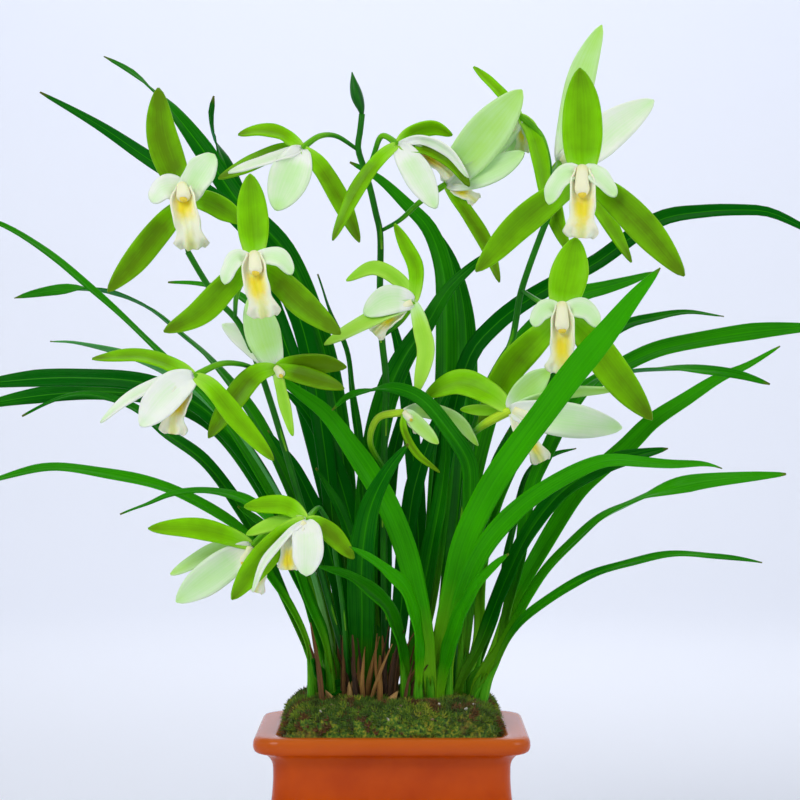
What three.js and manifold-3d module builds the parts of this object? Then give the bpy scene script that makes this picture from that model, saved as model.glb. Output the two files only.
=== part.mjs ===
// Potted four-season orchid: one clump of strap leaves and sixteen flowers in a glazed pot.
// Millimetres, +Z up, the front of the plant faces -Y, the pot stands on the origin.
import * as THREE from "three";
import Module from "manifold-3d";

const wasm = await Module();
wasm.setup();

// Pot
const RIM_HALF_LENGTH = 67;
const POT_DEPTH_RATIO = 0.77;
const POT_CORNER_RATIO = 0.2;
const POT_HEIGHT = 105;
const MOUTH_HALF_LENGTH = 54;
const FLOOR_THICKNESS = 8;
const DRAIN_HOLE_RADIUS = 5;
const DRAIN_HOLE_OFFSET = 22;
const CORNER_STEPS = 6;

// Fillings
const SEAT_GAP = 0.3;
const UPRIGHT_START = 5;
const MIX_TOP = 98;
const MOSS_TOP = 120;
const MOSS_EDGE_TOP = 103.5;

// Viewing geometry of the measured plane, which stands upright through the middle of the clump
const SIGHT_DISTANCE = 1100;
const SIGHT_X = 4;
const SIGHT_Z = 267;
const DEPTH_SPREAD = 1.3;

// Leaves
const LEAF_THICKNESS = 0.9;
const LEAF_STEPS = 13;
const FOLD_SLOPE = 0.28;
const LEAF_FOOT_WIDTH = 0.62;
const LEAF_FOOT_SHARE = 0.25;
const LEAF_TIP_WIDTH = 0.12;
const LEAF_TIP_SHARE = 0.3;

// Stems and bud
const STEM_SIDES = 7;
const STALK_SIDES = 6;
const STALK_STEPS = 5;
const STALK_RADIUS = 1.3;
const STALK_LEAD = 2.5;
const BUD_WIDTH = 6;
const BUD_THICKNESS = 4.5;
const BUD_STEPS = 5;
const BUD_DEPTH = 8;

// Flowers
const PETAL_THICKNESS = 1.1;
const PETAL_STEPS = 4;
const PETAL_CLAW_WIDTH = 0.3;
const COLUMN_FLATNESS = 0.7;
const COLUMN_STEPS = 3;
const COLUMN_TIP_WIDTH = 0.25;
const HEART_RADIUS = 2.6;

const colours = {
  glaze: "#b4460f",
  mix: "#3a2a1e",
  moss: "#3c6414",
  leafDark: "#0f5a14",
  leafBright: "#3c9614",
  sheath: "#6b5032",
  scape: "#2f7a1e",
  sepal: "#8cbe1e",
  bud: "#2d6e1e",
};

function material(colour, roughness) {
  return new THREE.MeshStandardMaterial({ color: colour, roughness, metalness: 0 });
}

const glaze = material(colours.glaze, 0.2);
const mix = material(colours.mix, 0.95);
const moss = material(colours.moss, 0.95);
const leafDark = material(colours.leafDark, 0.45);
const leafBright = material(colours.leafBright, 0.45);
const drySheath = material(colours.sheath, 0.8);
const scapeGreen = material(colours.scape, 0.5);
const flowerGreen = material(colours.sepal, 0.55);
const budGreen = material(colours.bud, 0.5);

const group = new THREE.Group();

function add(name, geometry, surface) {
  const mesh = new THREE.Mesh(geometry, surface);
  mesh.name = name;
  group.add(mesh);
}

// Welds a three.js geometry into a manifold solid.
function solid(geometry) {
  const position = geometry.getAttribute("position");
  const index = geometry.getIndex();
  const known = new Map();
  const vertices = [];
  const triangles = [];
  const count = index ? index.count : position.count;
  for (let start = 0; start < count; start += 3) {
    const corners = [0, 1, 2].map((step) => {
      const vertex = index ? index.getX(start + step) : start + step;
      const point = [position.getX(vertex), position.getY(vertex), position.getZ(vertex)];
      const key = point.map((value) => Math.round(value * 1e4)).join(",");
      if (!known.has(key)) {
        known.set(key, vertices.length / 3);
        vertices.push(...point);
      }
      return known.get(key);
    });
    if (new Set(corners).size === 3) {
      triangles.push(...corners);
    }
  }
  return new wasm.Manifold(new wasm.Mesh({
    numProp: 3,
    vertProperties: new Float32Array(vertices),
    triVerts: new Uint32Array(triangles),
  }));
}

function geometryOf(body) {
  const mesh = body.getMesh();
  const geometry = new THREE.BufferGeometry();
  const points = [];
  for (let vertex = 0; vertex < mesh.numVert; vertex += 1) {
    const start = vertex * mesh.numProp;
    points.push(mesh.vertProperties[start], mesh.vertProperties[start + 1], mesh.vertProperties[start + 2]);
  }
  geometry.setAttribute("position", new THREE.Float32BufferAttribute(points, 3));
  geometry.setIndex(Array.from(mesh.triVerts));
  return geometry;
}

// A point of the measured plane, brought towards the viewer by depth along its own line of sight.
function sighted(x, z, depth) {
  const scale = (SIGHT_DISTANCE - depth) / SIGHT_DISTANCE;
  return new THREE.Vector3(SIGHT_X + (x - SIGHT_X) * scale, -depth, SIGHT_Z + (z - SIGHT_Z) * scale);
}

function planeHeight(point) {
  const scale = (SIGHT_DISTANCE + point.y) / SIGHT_DISTANCE;
  return SIGHT_Z + (point.z - SIGHT_Z) / scale;
}

// Rounded rectangle bodies: a turned profile whose round section is pushed out to the pot's outline.
function rectangularTurning(profile) {
  const segments = 4 * (CORNER_STEPS + 1);
  const points = profile.map(([radius, height]) => new THREE.Vector2(radius, height));
  const geometry = new THREE.LatheGeometry(points, segments);
  geometry.rotateX(Math.PI / 2);
  const position = geometry.getAttribute("position");
  for (let vertex = 0; vertex < position.count; vertex += 1) {
    const x = position.getX(vertex);
    const y = position.getY(vertex);
    const radius = Math.hypot(x, y);
    const share = (Math.atan2(y, x) / (2 * Math.PI) + 1) % 1;
    const place = Math.round(share * segments) % segments;
    const corner = Math.floor(place / (CORNER_STEPS + 1));
    const turn = ((place % (CORNER_STEPS + 1)) / CORNER_STEPS + corner) * (Math.PI / 2);
    const signX = corner === 0 || corner === 3 ? 1 : -1;
    const signY = corner < 2 ? 1 : -1;
    const outlineX = signX * (1 - POT_CORNER_RATIO) + POT_CORNER_RATIO * Math.cos(turn);
    const outlineY = signY * (POT_DEPTH_RATIO - POT_CORNER_RATIO) + POT_CORNER_RATIO * Math.sin(turn);
    position.setXY(vertex, radius * outlineX, radius * outlineY);
  }
  return geometry;
}

// The pot: foot, gently swelling belly, hollow neck and a thick lip that turns outwards.
const potProfile = [
  [0, 0],
  [47, 0],
  [49, 1.5],
  [53, 16],
  [57, 34],
  [59.2, 52],
  [59.2, 66],
  [58, 77],
  [57.6, 86],
  [58.2, 92],
  [61.5, 96],
  [RIM_HALF_LENGTH - 1, 97.5],
  [RIM_HALF_LENGTH, 100.5],
  [RIM_HALF_LENGTH - 0.8, POT_HEIGHT - 1],
  [RIM_HALF_LENGTH - 3, POT_HEIGHT],
  [MOUTH_HALF_LENGTH + 1.5, POT_HEIGHT - 0.5],
  [MOUTH_HALF_LENGTH, POT_HEIGHT - 2],
  [52.5, 92],
  [52.2, 84],
  [52.6, 72],
  [53.6, 52],
  [51.5, 34],
  [47.5, 16],
  [43, FLOOR_THICKNESS],
  [0, FLOOR_THICKNESS],
];

let pot = solid(rectangularTurning(potProfile));
for (const side of [-1, 1]) {
  const drill = new THREE.LatheGeometry([
    new THREE.Vector2(0, -1),
    new THREE.Vector2(DRAIN_HOLE_RADIUS, -1),
    new THREE.Vector2(DRAIN_HOLE_RADIUS, FLOOR_THICKNESS + 1),
    new THREE.Vector2(0, FLOOR_THICKNESS + 1),
  ], 16);
  drill.rotateX(Math.PI / 2);
  drill.translate(side * DRAIN_HOLE_OFFSET, 0, 0);
  pot = pot.subtract(solid(drill));
}
add("pot", geometryOf(pot), glaze);

// Potting mix: fills the belly up to just under the moss.
add("potting_mix", rectangularTurning([
  [0, FLOOR_THICKNESS + SEAT_GAP],
  [42, FLOOR_THICKNESS + SEAT_GAP],
  [46.8, 16.4],
  [50.8, 34.2],
  [52.9, 52],
  [51.9, 71.8],
  [51.5, 84],
  [51.8, 92],
  [52.3, MIX_TOP],
  [0, MIX_TOP],
]), mix);

// Living moss: a cushion that fills the mouth and rises to a flat crown, where the plant stands.
add("moss_mound", rectangularTurning([
  [0, MIX_TOP + SEAT_GAP],
  [51.5, MIX_TOP + SEAT_GAP],
  [53.2, MOSS_EDGE_TOP],
  [53, 107],
  [51.8, 112],
  [49.5, 116.5],
  [46, MOSS_TOP - 1],
  [42, MOSS_TOP],
  [0, MOSS_TOP],
]), moss);

// A blade is a box bent along a curve: its width lies across the view, and lean turns it on its curve.
// Each point holds its place and may hold a lean of its own; shape gives the width along the blade.
function blade(points, width, thickness, steps, fold, shape, lean) {
  const route = new THREE.CatmullRomCurve3(points.map((point) => point.at), false, "centripetal");
  const leans = points.map((point) => point.lean ?? lean);
  const divisions = fold > 0 ? 2 : 1;
  const geometry = new THREE.BoxGeometry(1, 1, 1, divisions, 1, steps);
  const position = geometry.getAttribute("position");
  const towardsViewer = new THREE.Vector3(0, -1, 0);
  for (let vertex = 0; vertex < position.count; vertex += 1) {
    const share = position.getZ(vertex) + 0.5;
    const turnOfRoute = route.getUtoTmapping(share);
    const centre = route.getPoint(turnOfRoute);
    const along = route.getTangent(turnOfRoute).normalize();
    const facing = towardsViewer.clone().addScaledVector(along, -towardsViewer.dot(along)).normalize();
    const reach = turnOfRoute * (leans.length - 1);
    const before = Math.min(Math.floor(reach), leans.length - 2);
    const turn = THREE.MathUtils.lerp(leans[before], leans[before + 1], reach - before);
    facing.applyAxisAngle(along, THREE.MathUtils.degToRad(turn));
    const across = facing.clone().cross(along);
    const offset = position.getX(vertex) * width * shape(share);
    centre.addScaledVector(across, offset);
    centre.addScaledVector(facing, position.getY(vertex) * thickness + Math.abs(offset) * fold);
    position.setXYZ(vertex, centre.x, centre.y, centre.z);
  }
  return geometry;
}

// Strap leaf: narrow at the foot, even along its length, drawn out to a fine tip.
function leafShape(share) {
  const foot = LEAF_FOOT_WIDTH + (1 - LEAF_FOOT_WIDTH) * Math.min(1, share / LEAF_FOOT_SHARE);
  const tip = Math.min(1, (1 - share) / LEAF_TIP_SHARE);
  return foot * Math.max(LEAF_TIP_WIDTH, Math.sqrt(tip));
}

// Sepal and petal: narrow where they join the flower, widest past the middle, pointed.
function petalShape(share) {
  const swell = Math.sin(Math.PI * Math.min(1, share / 1.12)) ** 0.8;
  return PETAL_CLAW_WIDTH + (1 - PETAL_CLAW_WIDTH) * swell - 0.22 * share ** 4;
}

// Column: even at first, then rounded off to its end.
function columnShape(share) {
  return 1 - (1 - COLUMN_TIP_WIDTH) * share ** 2;
}

// Depth runs evenly with the length of the leaf, from the foot's depth to the tip's.
function leafPoints(foot, tipDepth, route) {
  const [footX, footY] = foot;
  const lengths = [0];
  let previous = [footX, MOSS_TOP + UPRIGHT_START];
  for (const [x, z] of route) {
    lengths.push(lengths.at(-1) + Math.hypot(x - previous[0], z - previous[1]));
    previous = [x, z];
  }
  const points = [
    { at: new THREE.Vector3(footX, footY, MOSS_TOP + SEAT_GAP) },
    { at: new THREE.Vector3(footX, footY, MOSS_TOP + UPRIGHT_START) },
  ];
  route.forEach(([x, z, lean], place) => {
    const share = lengths[place + 1] / lengths.at(-1);
    const depth = THREE.MathUtils.lerp(-footY, tipDepth * DEPTH_SPREAD, share);
    points.push({ at: sighted(x, z, depth), lean });
  });
  return points;
}

function addLeaf(name, surface, { foot, tipDepth, width, lean = 0, route }) {
  const points = leafPoints(foot, tipDepth, route);
  const geometry = blade(points, width, LEAF_THICKNESS, LEAF_STEPS, FOLD_SLOPE, leafShape, lean);
  add(name, geometry, surface);
}

// Leaves: foot [x, y] on the moss, depth of the tip towards the viewer, width, and the way up to the tip.
// Lean is in degrees and is left out where it is 0; a third number on a way point is the lean there.
const leavesLeft = [
  { foot: [-17, 10], tipDepth: -60, width: 10.5, bright: false,
    route: [[-20, 187], [-27, 257], [-37, 302], [-54, 342], [-76, 365], [-96, 394], [-112, 414, 30],
      [-121, 423, 72], [-130, 431, 50], [-144, 439, 40]] },
  { foot: [-25, 6], tipDepth: -35, width: 9.5, bright: false,
    route: [[-28, 187], [-35, 252], [-46, 307], [-61, 336], [-76, 357], [-94, 371], [-118, 385],
      [-146, 404], [-176, 421]] },
  { foot: [-22, 14], tipDepth: -78, width: 10, bright: false,
    route: [[-26, 187], [-44, 267], [-63, 322], [-77, 367], [-85, 389, 40], [-89, 398, 80],
      [-91, 408, 50], [-89, 419, 20]] },
  { foot: [-31, -4], tipDepth: 18, width: 6, lean: 40, bright: true,
    route: [[-43, 182], [-65, 227], [-88, 262], [-110, 285], [-132, 306], [-151, 323], [-167, 337],
      [-183, 348], [-196, 355], [-213, 361]] },
  { foot: [-28, 12], tipDepth: -22, width: 6.5, lean: 25, bright: false,
    route: [[-32, 167], [-46, 212], [-68, 257], [-90, 286], [-106, 300], [-122, 313, 45],
      [-139, 320, 60], [-152, 322, 65], [-165, 322], [-180, 320], [-189, 318]] },
  { foot: [-27, 3], tipDepth: -12, width: 5, lean: 20, bright: true,
    route: [[-34, 157], [-48, 199], [-71, 239], [-93, 267], [-111, 279], [-132, 289], [-158, 295],
      [-171, 296]] },
  { foot: [-33, 9], tipDepth: -48, width: 9, bright: false,
    route: [[-48, 192], [-71, 237], [-96, 264], [-118, 274], [-133, 277], [-152, 278], [-170, 278],
      [-196, 276], [-216, 273]] },
  { foot: [-30, 17], tipDepth: -70, width: 9, bright: false,
    route: [[-38, 167], [-61, 217], [-88, 254], [-116, 268], [-141, 271], [-168, 270], [-196, 266],
      [-212, 261]] },
  { foot: [-36, -7], tipDepth: 4, width: 7, lean: 35, bright: false,
    route: [[-53, 167], [-73, 208], [-94, 236], [-114, 251], [-126, 261], [-139, 267], [-154, 270],
      [-166, 268], [-185, 259]] },
  { foot: [-39, -13], tipDepth: 14, width: 6.5, lean: 35, bright: true,
    route: [[-42, 145], [-50, 163], [-62, 181], [-72, 198], [-87, 210], [-110, 222], [-142, 230],
      [-170, 233], [-196, 228], [-211, 223]] },
  { foot: [-30, -17], tipDepth: 40, width: 6, lean: 35, bright: true,
    route: [[-33, 145], [-43, 170], [-52, 195], [-70, 215], [-87, 221], [-110, 220], [-123, 215],
      [-136, 210]] },
];

const leavesMiddle = [
  { foot: [19, -20], tipDepth: 31.5, width: 10.5, bright: true,
    route: [[17, 147], [12, 172], [5, 197], [-3, 216], [-10, 228], [-20, 243], [-34, 261], [-47, 271],
      [-64, 284]] },
  { foot: [-15, -11], tipDepth: 50, width: 9.5, bright: false,
    route: [[-15, 157], [-15, 187], [-11, 212], [-3, 230], [8, 245]] },
  { foot: [34, -8], tipDepth: 42, width: 8.5, bright: false,
    route: [[37, 157], [39, 192], [39, 220], [38, 236], [28, 252], [14, 268], [1, 273],
      [-9, 272, 60], [-22, 269], [-30, 262]] },
  { foot: [0, -11], tipDepth: -14, width: 9, bright: false,
    route: [[4, 157], [7, 192], [11, 222], [20, 250], [31, 276]] },
  { foot: [13, -25], tipDepth: 66, width: 5, bright: true,
    route: [[13, 147], [7, 171], [-1, 180], [-10, 187], [-21, 194]] },
  { foot: [7, -20], tipDepth: 62, width: 5, bright: false,
    route: [[6, 138], [2, 153], [-2, 163], [-10, 171], [-20, 178], [-39, 185]] },
  { foot: [-14, 0], tipDepth: -3, width: 5, lean: 50, bright: false,
    route: [[-13, 167], [-15, 227], [-20, 272], [-23, 292], [-31, 312], [-37, 330]] },
  { foot: [10, 10], tipDepth: -44, width: 12, bright: true,
    route: [[18, 167], [24, 227], [27, 277], [27, 312], [25, 334], [18, 353], [7, 365], [-7, 378],
      [-21, 386]] },
  { foot: [21, 9], tipDepth: -62, width: 12, bright: false,
    route: [[28, 167], [34, 227], [37, 277], [36, 312], [30, 336], [19, 356]] },
  { foot: [-7, 8], tipDepth: -8, width: 12, bright: false,
    route: [[-12, 177], [-11, 227], [-3, 267], [6, 288], [17, 304], [28, 322], [39, 333],
      [52, 343]] },
  { foot: [-9, 17], tipDepth: -90, width: 6, bright: true,
    route: [[-24, 207], [-39, 267], [-59, 302], [-79, 321], [-96, 325], [-112, 326]] },
];

const leavesRight = [
  { foot: [13, 2], tipDepth: -40, width: 8, bright: false,
    route: [[17, 162], [22, 207], [29, 252], [40, 291], [50, 303], [62, 313], [80, 324], [101, 335],
      [134, 357], [155, 361], [174, 362], [188, 361], [204, 354], [218, 346]] },
  { foot: [20.5, -9.5], tipDepth: 84, width: 12, bright: true,
    route: [[22, 137], [26, 154], [31, 175], [37, 197], [49, 222], [61, 240], [75, 259], [94, 284],
      [110, 299], [121, 318], [134, 333]] },
  { foot: [37, 8], tipDepth: -46, width: 7, bright: true,
    route: [[43, 147], [44, 177], [47, 199], [54, 222], [67, 247], [84, 264], [104, 277],
      [119, 286], [133, 292], [155, 297], [180, 301], [204, 303], [221, 304]] },
  { foot: [33, 18], tipDepth: -84, width: 6, bright: false,
    route: [[37, 167], [47, 217], [62, 252], [82, 277], [101, 294], [118, 305], [130, 308],
      [148, 311], [166, 309]] },
  { foot: [40, 0], tipDepth: 0, width: 8, bright: true,
    route: [[49, 137], [61, 167], [69, 182], [84, 207], [94, 222], [104, 232], [118, 244],
      [130, 256], [148, 268], [164, 278], [177, 284], [194, 294]] },
  { foot: [36, -6], tipDepth: 28, width: 6.5, lean: -35, bright: false,
    route: [[51, 137], [58, 164], [64, 187], [70, 222], [76, 237], [89, 261], [106, 278, -58],
      [120, 281, -66], [134, 282, -60], [154, 282, -20], [172, 280, 0], [189, 275, 0]] },
  { foot: [42, -12], tipDepth: 50, width: 10, bright: true,
    route: [[54, 142, -45], [69, 169, -58], [84, 189, -60], [104, 207, -64], [117, 214, -66],
      [128, 219, -60], [137, 222, -35], [149, 225], [162, 227], [183, 229], [197, 230]] },
  { foot: [43, -19], tipDepth: 66, width: 5.5, lean: -40, bright: false,
    route: [[48, 127], [58, 148], [64, 156], [74, 164], [87, 173], [104, 181], [129, 188],
      [145, 190], [162, 189], [185, 186]] },
  { foot: [27.5, -19], tipDepth: 80, width: 9, bright: true,
    route: [[28, 137], [34.5, 167], [46, 193], [64, 213], [84, 227], [104, 236], [113, 237],
      [126, 236], [140, 235], [157, 235], [165, 233]] },
  { foot: [29, 20], tipDepth: -100, width: 10, bright: false,
    route: [[31, 177], [41, 237], [54, 277], [69, 299], [84, 312], [95, 320], [106, 323],
      [120, 327], [131, 331]] },
  { foot: [42, 13], tipDepth: -30, width: 5, lean: -50, bright: false,
    route: [[54, 167], [59, 194], [64, 217], [69, 232], [79, 239], [92, 243]] },
];

for (const [side, leaves] of [["left", leavesLeft], ["middle", leavesMiddle], ["right", leavesRight]]) {
  leaves.forEach((leaf, place) => {
    const number = String(place + 1).padStart(2, "0");
    addLeaf(`leaf_${side}_${number}`, leaf.bright ? leafBright : leafDark, leaf);
  });
}

// Dry scale leaves that stand around the crown.
const sheaths = [
  { foot: [-13, -21], tipDepth: 30, width: 7, route: [[-13, 132], [-11, 145], [-9, 156]] },
  { foot: [-2, -21], tipDepth: 24, width: 7, route: [[-2, 132], [0, 145], [3, 154]] },
];
sheaths.forEach((sheath, place) => {
  addLeaf(`sheath_${place + 1}`, drySheath, sheath);
});

// A round stem is an extruded ring of sides along its curve.
function stem(points, radius, sides, steps) {
  const section = new THREE.Shape();
  for (let side = 0; side < sides; side += 1) {
    const turn = (side / sides) * 2 * Math.PI;
    const x = radius * Math.cos(turn);
    const y = radius * Math.sin(turn);
    if (side === 0) {
      section.moveTo(x, y);
    } else {
      section.lineTo(x, y);
    }
  }
  section.closePath();
  const extrudePath = new THREE.CatmullRomCurve3(points, false, "centripetal");
  return new THREE.ExtrudeGeometry(section, { steps, extrudePath, bevelEnabled: false });
}

// Flower stems, foot to top.
const scapes = [
  { name: "scape_left", foot: [-21, -5], tipDepth: 44, radius: 1.7, steps: 16,
    route: [[-33, 172], [-49, 227], [-61, 267], [-68, 287], [-77, 306], [-87, 317], [-95, 329],
      [-102, 341]] },
  { name: "scape_middle", foot: [-3, -4], tipDepth: 8, radius: 1.8, steps: 18,
    route: [[-4, 187], [-4, 237], [-3, 277], [-5, 297], [-6, 321], [-6, 351], [-8, 360], [-11, 373],
      [-14, 383], [-17, 393], [-16, 401], [-15, 410]] },
  { name: "scape_right", foot: [31, 1], tipDepth: 16, radius: 1.8, steps: 16,
    route: [[32, 167], [35, 207], [41, 252], [51, 277], [60, 297], [62, 307], [64, 319], [68, 332],
      [75, 351], [78, 359], [80, 377]] },
  { name: "scape_low", foot: [-22, -15], tipDepth: 44, radius: 1.3, steps: 8,
    route: [[-24, 157], [-28, 187], [-31, 204], [-36, 213]] },
];
const stemCurves = new Map();
for (const { name, foot, tipDepth, radius, steps, route } of scapes) {
  const points = leafPoints(foot, tipDepth, route).map((point) => point.at);
  stemCurves.set(name, { curve: new THREE.CatmullRomCurve3(points, false, "centripetal"), radius });
  add(name, stem(points, radius, STEM_SIDES, steps), scapeGreen);
}

// A stalk leaves the side of its flower stem at a height of the measured plane, or goes on from its tip.
function stalkStart(name, height, next) {
  const { curve, radius } = stemCurves.get(name);
  const tip = curve.getPointAt(1);
  if (height === "tip") {
    const along = curve.getTangentAt(1);
    const start = tip.clone().addScaledVector(along, SEAT_GAP);
    return [start, start.clone().addScaledVector(along, STALK_LEAD)];
  }
  let share = 0;
  while (share < 1 && planeHeight(curve.getPointAt(share)) < height) {
    share += 0.002;
  }
  const centre = curve.getPointAt(Math.min(1, share));
  const along = curve.getTangentAt(Math.min(1, share));
  const outwards = next.clone().sub(centre);
  outwards.addScaledVector(along, -outwards.dot(along)).normalize();
  const start = centre.clone().addScaledVector(outwards, radius + SEAT_GAP);
  return [start, start.clone().addScaledVector(outwards, STALK_LEAD)];
}

// Bud at the top of the middle stem.
const budPoints = [[-15, 410.6], [-17, 418], [-20, 431]].map(([x, z]) => {
  return { at: sighted(x, z, BUD_DEPTH * DEPTH_SPREAD) };
});
add("bud_top", blade(budPoints, BUD_WIDTH, BUD_THICKNESS, BUD_STEPS, 0, petalShape, 0), budGreen);

// One flower: stalk, heart, blades and column joined in one solid.
// A blade is its width and the points it runs through, each [x, z, depth] from the flower's centre.
function addFlower({ name, centre, stalk, sepals, petals, lip, column }) {
  const [centreX, centreZ, centreDepth] = centre;
  const place = ([x, z, depth = 0]) => sighted(centreX + x, centreZ + z, centreDepth * DEPTH_SPREAD + depth);
  const via = stalk.via.map(([x, z, depth]) => sighted(x, z, depth * DEPTH_SPREAD));
  const lead = stalkStart(stalk.on, stalk.height, via[0] ?? place([0, 0]));
  let body = solid(stem([...lead, ...via, place([0, 0])], STALK_RADIUS, STALK_SIDES, STALK_STEPS));
  const heart = new THREE.SphereGeometry(HEART_RADIUS, 6, 4);
  heart.translate(...place([0, 0]).toArray());
  body = body.add(solid(heart));
  for (const [width, ...route] of [...sepals, ...petals, ...lip]) {
    const points = [[0, 0], ...route].map((point) => ({ at: place(point) }));
    body = body.add(solid(blade(points, width, PETAL_THICKNESS, PETAL_STEPS, 0, petalShape, 0)));
  }
  for (const [width, ...route] of column) {
    const points = [[0, 0], ...route].map((point) => ({ at: place(point) }));
    const thickness = width * COLUMN_FLATNESS;
    body = body.add(solid(blade(points, width, thickness, COLUMN_STEPS, 0, columnShape, 0)));
  }
  add(name, geometryOf(body), flowerGreen);
}

const flowers = [
  { name: "flower_left_top", centre: [-102, 367, 52],
    stalk: { on: "scape_left", height: "tip", via: [] },
    sepals: [
      [14, [-6, 12, -3], [-13, 32, -2], [-15, 55, 4]],
      [12, [-10, -10, 0], [-28, -32, 3], [-40, -45, 6]],
      [11, [8, 0, -2], [20, -6, -4], [28, -12, -6]],
    ],
    petals: [
      [9, [-7, 4, 4], [-18, 2, 8]],
      [13, [5, 8, 5], [12, 20, 8]],
    ],
    lip: [[12, [0, -8, 5], [1, -20, 8], [1, -25, 4]]],
    column: [[6, [-1, -1, 5], [-1, -8, 9]]] },
  { name: "flower_left_mid", centre: [-69, 336, 66],
    stalk: { on: "scape_left", height: 308, via: [[-77, 322, 54]] },
    sepals: [
      [12, [0, 10, -2], [-1, 28, -2], [-2, 42, 3]],
      [11, [-10, -8, 0], [-28, -26, 3], [-44, -34, 6]],
      [12, [10, -7, 0], [26, -22, 3], [42, -34, 8]],
    ],
    petals: [
      [9, [-8, 1, 4], [-17, -7, 8]],
      [9, [8, 1, 4], [17, -4, 6]],
    ],
    lip: [[10, [1, -10, 6], [3, -20, 8], [4, -26, 5]]],
    column: [[6, [0, -3, 6], [1, -11, 9]]] },
  { name: "flower_left_back", centre: [-58, 283, 38],
    stalk: { on: "scape_left", height: 282, via: [] },
    sepals: [
      [9, [-5, 14, -1], [-7, 34, 2]],
      [10, [-13, 13, 0], [-26, 19, 1]],
      [9, [12, 1, 3], [26, 1, 6], [34, 0, 8]],
      [5, [2, -8, 3], [8, -33, 6]],
      [10, [-10, -3, 6], [-22, -17, 10], [-33, -34, 12]],
    ],
    petals: [[8, [14, -4, 6], [34, -9, 12]]],
    lip: [],
    column: [[5, [2, -2, 3], [4, -6, 6]]] },
  { name: "flower_left_side", centre: [-99, 279, 56],
    stalk: { on: "scape_left", height: 281, via: [[-76, 285, 44], [-86, 285, 51]] },
    sepals: [
      [7, [-8, 4, -4], [-26, 10, -8], [-50, 9, -6]],
      [8, [8, -5, 3], [21, -21, 6], [39, -41, 8]],
    ],
    petals: [
      [14, [-10, -6, 3], [-25, -22, 6]],
      [5, [-14, -2, 0], [-34, -12, 2], [-46, -22, 4]],
    ],
    lip: [[13, [-7, -10, 6], [-10, -22, 8], [-10, -29, 5]]],
    column: [[6, [-5, -6, 4], [-9, -12, 6]]] },
  { name: "flower_low_outer", centre: [-70, 194, 58],
    stalk: { on: "scape_low", height: 202, via: [[-38, 206, 47], [-50, 208, 50], [-60, 203, 55]] },
    sepals: [
      [8, [-12, 5, 2], [-30, 9, 5], [-51, 9, 8]],
    ],
    petals: [
      [6, [-16, -4, -2], [-40, -14, -4]],
      [13, [-14, -10, 1], [-36, -26, 3]],
    ],
    lip: [[5, [4, -8, 5], [1, -22, 8]]],
    column: [[5, [-2, -4, 4], [-5, -9, 6]]] },
  { name: "flower_low_inner", centre: [-43, 207, 62],
    stalk: { on: "scape_low", height: "tip", via: [] },
    sepals: [
      [7, [-10, 7, 2], [-29, 7, 5]],
      [7, [9, -5, 3], [23, -18, 8]],
      [6, [-16, -2, 6], [-28, -6, 8]],
      [11, [-12, -9, 8], [-25, -23, 11], [-36, -38, 12]],
    ],
    petals: [[13, [0, -14, 6], [0, -27, 8]]],
    lip: [[6, [-7, -10, 5], [-9, -24, 8]]],
    column: [[5, [-3, -4, 4], [-4, -9, 6]]] },
  { name: "flower_mid_left", centre: [-45, 393, 18],
    stalk: { on: "scape_middle", height: 392, via: [[-28, 399, 10], [-36, 399, 14]] },
    sepals: [
      [6, [-10, 7, 1], [-20, 9, 2], [-31, 7, 3]],
      [9, [8, -8, 2], [18, -24, 4], [28, -45, 6]],
      [7, [-12, -2, -3], [-26, -8, -5], [-41, -14, -6]],
    ],
    petals: [
      [16, [-6, -14, 5], [-12, -28, 9]],
      [6, [-14, -5, 3], [-36, -11, 6]],
    ],
    lip: [[7, [-6, -8, -2], [-14, -18, -2]]],
    column: [[5, [-4, -4, -2], [-8, -8, -2]]] },
  { name: "flower_mid_right", centre: [3, 395, 22],
    stalk: { on: "scape_middle", height: 378, via: [[-9, 390, 14], [-5, 399, 17]] },
    sepals: [
      [6, [8, 6, -1], [18, 8, -2], [26, 4, -2]],
      [7, [-8, -6, 4], [-20, -22, 7], [-32, -46, 10]],
      [6, [14, -2, 2], [26, -8, 4], [35, -20, 5]],
    ],
    petals: [[12, [8, -12, 5], [18, -30, 9]]],
    lip: [[7, [14, -5, 1], [24, -12, 1]]],
    column: [[5, [4, -4, -2], [8, -8, -2]]] },
  { name: "flower_mid_arm", centre: [27, 375, 16],
    stalk: { on: "scape_middle", height: 351, via: [[4, 357, 10], [14, 366, 13]] },
    sepals: [
      [7, [9, -12, 3], [20, -30, 6], [27, -47, 8]],
      [5, [3, 5, 1], [10, 8, 3]],
      [11, [14, 10, -4], [28, 22, -14], [36, 29, -20]],
    ],
    petals: [
      [19, [12, 15, 8], [25, 31, 14], [38, 46, 18]],
      [13, [14, 4, 6], [27, 9, 9], [39, 15, 10]],
    ],
    lip: [[6, [8, -4, 2], [15, -7, 3]]],
    column: [[5, [3, -3, -2], [6, -6, -2]]] },
  { name: "flower_right_arm", centre: [64, 409, 22],
    stalk: { on: "scape_right", height: 374, via: [[78, 389, 18], [74, 400, 20]] },
    sepals: [
      [5, [-10, 12, -2], [-23, 24, -3]],
      [8, [5, -6, -1], [10, -22, 1], [13, -44, 3]],
    ],
    petals: [
      [10, [-7, -9, -6], [-16, -20, -10]],
      [9, [-2, -12, -9], [-5, -26, -14]],
    ],
    lip: [[6, [1, -8, -5], [1, -16, -6]]],
    column: [[5, [-3, -4, -3], [-5, -8, -4]]] },
  { name: "flower_right_top", centre: [95, 376, 44],
    stalk: { on: "scape_right", height: 364, via: [[87, 370, 30]] },
    sepals: [
      [18, [0, 12, -3], [0, 34, -1], [-1, 54, 5]],
      [14, [12, -5, 0], [32, -24, 4], [50, -44, 8]],
      [13, [-12, -6, -4], [-32, -22, -8], [-52, -43, -10]],
    ],
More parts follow.
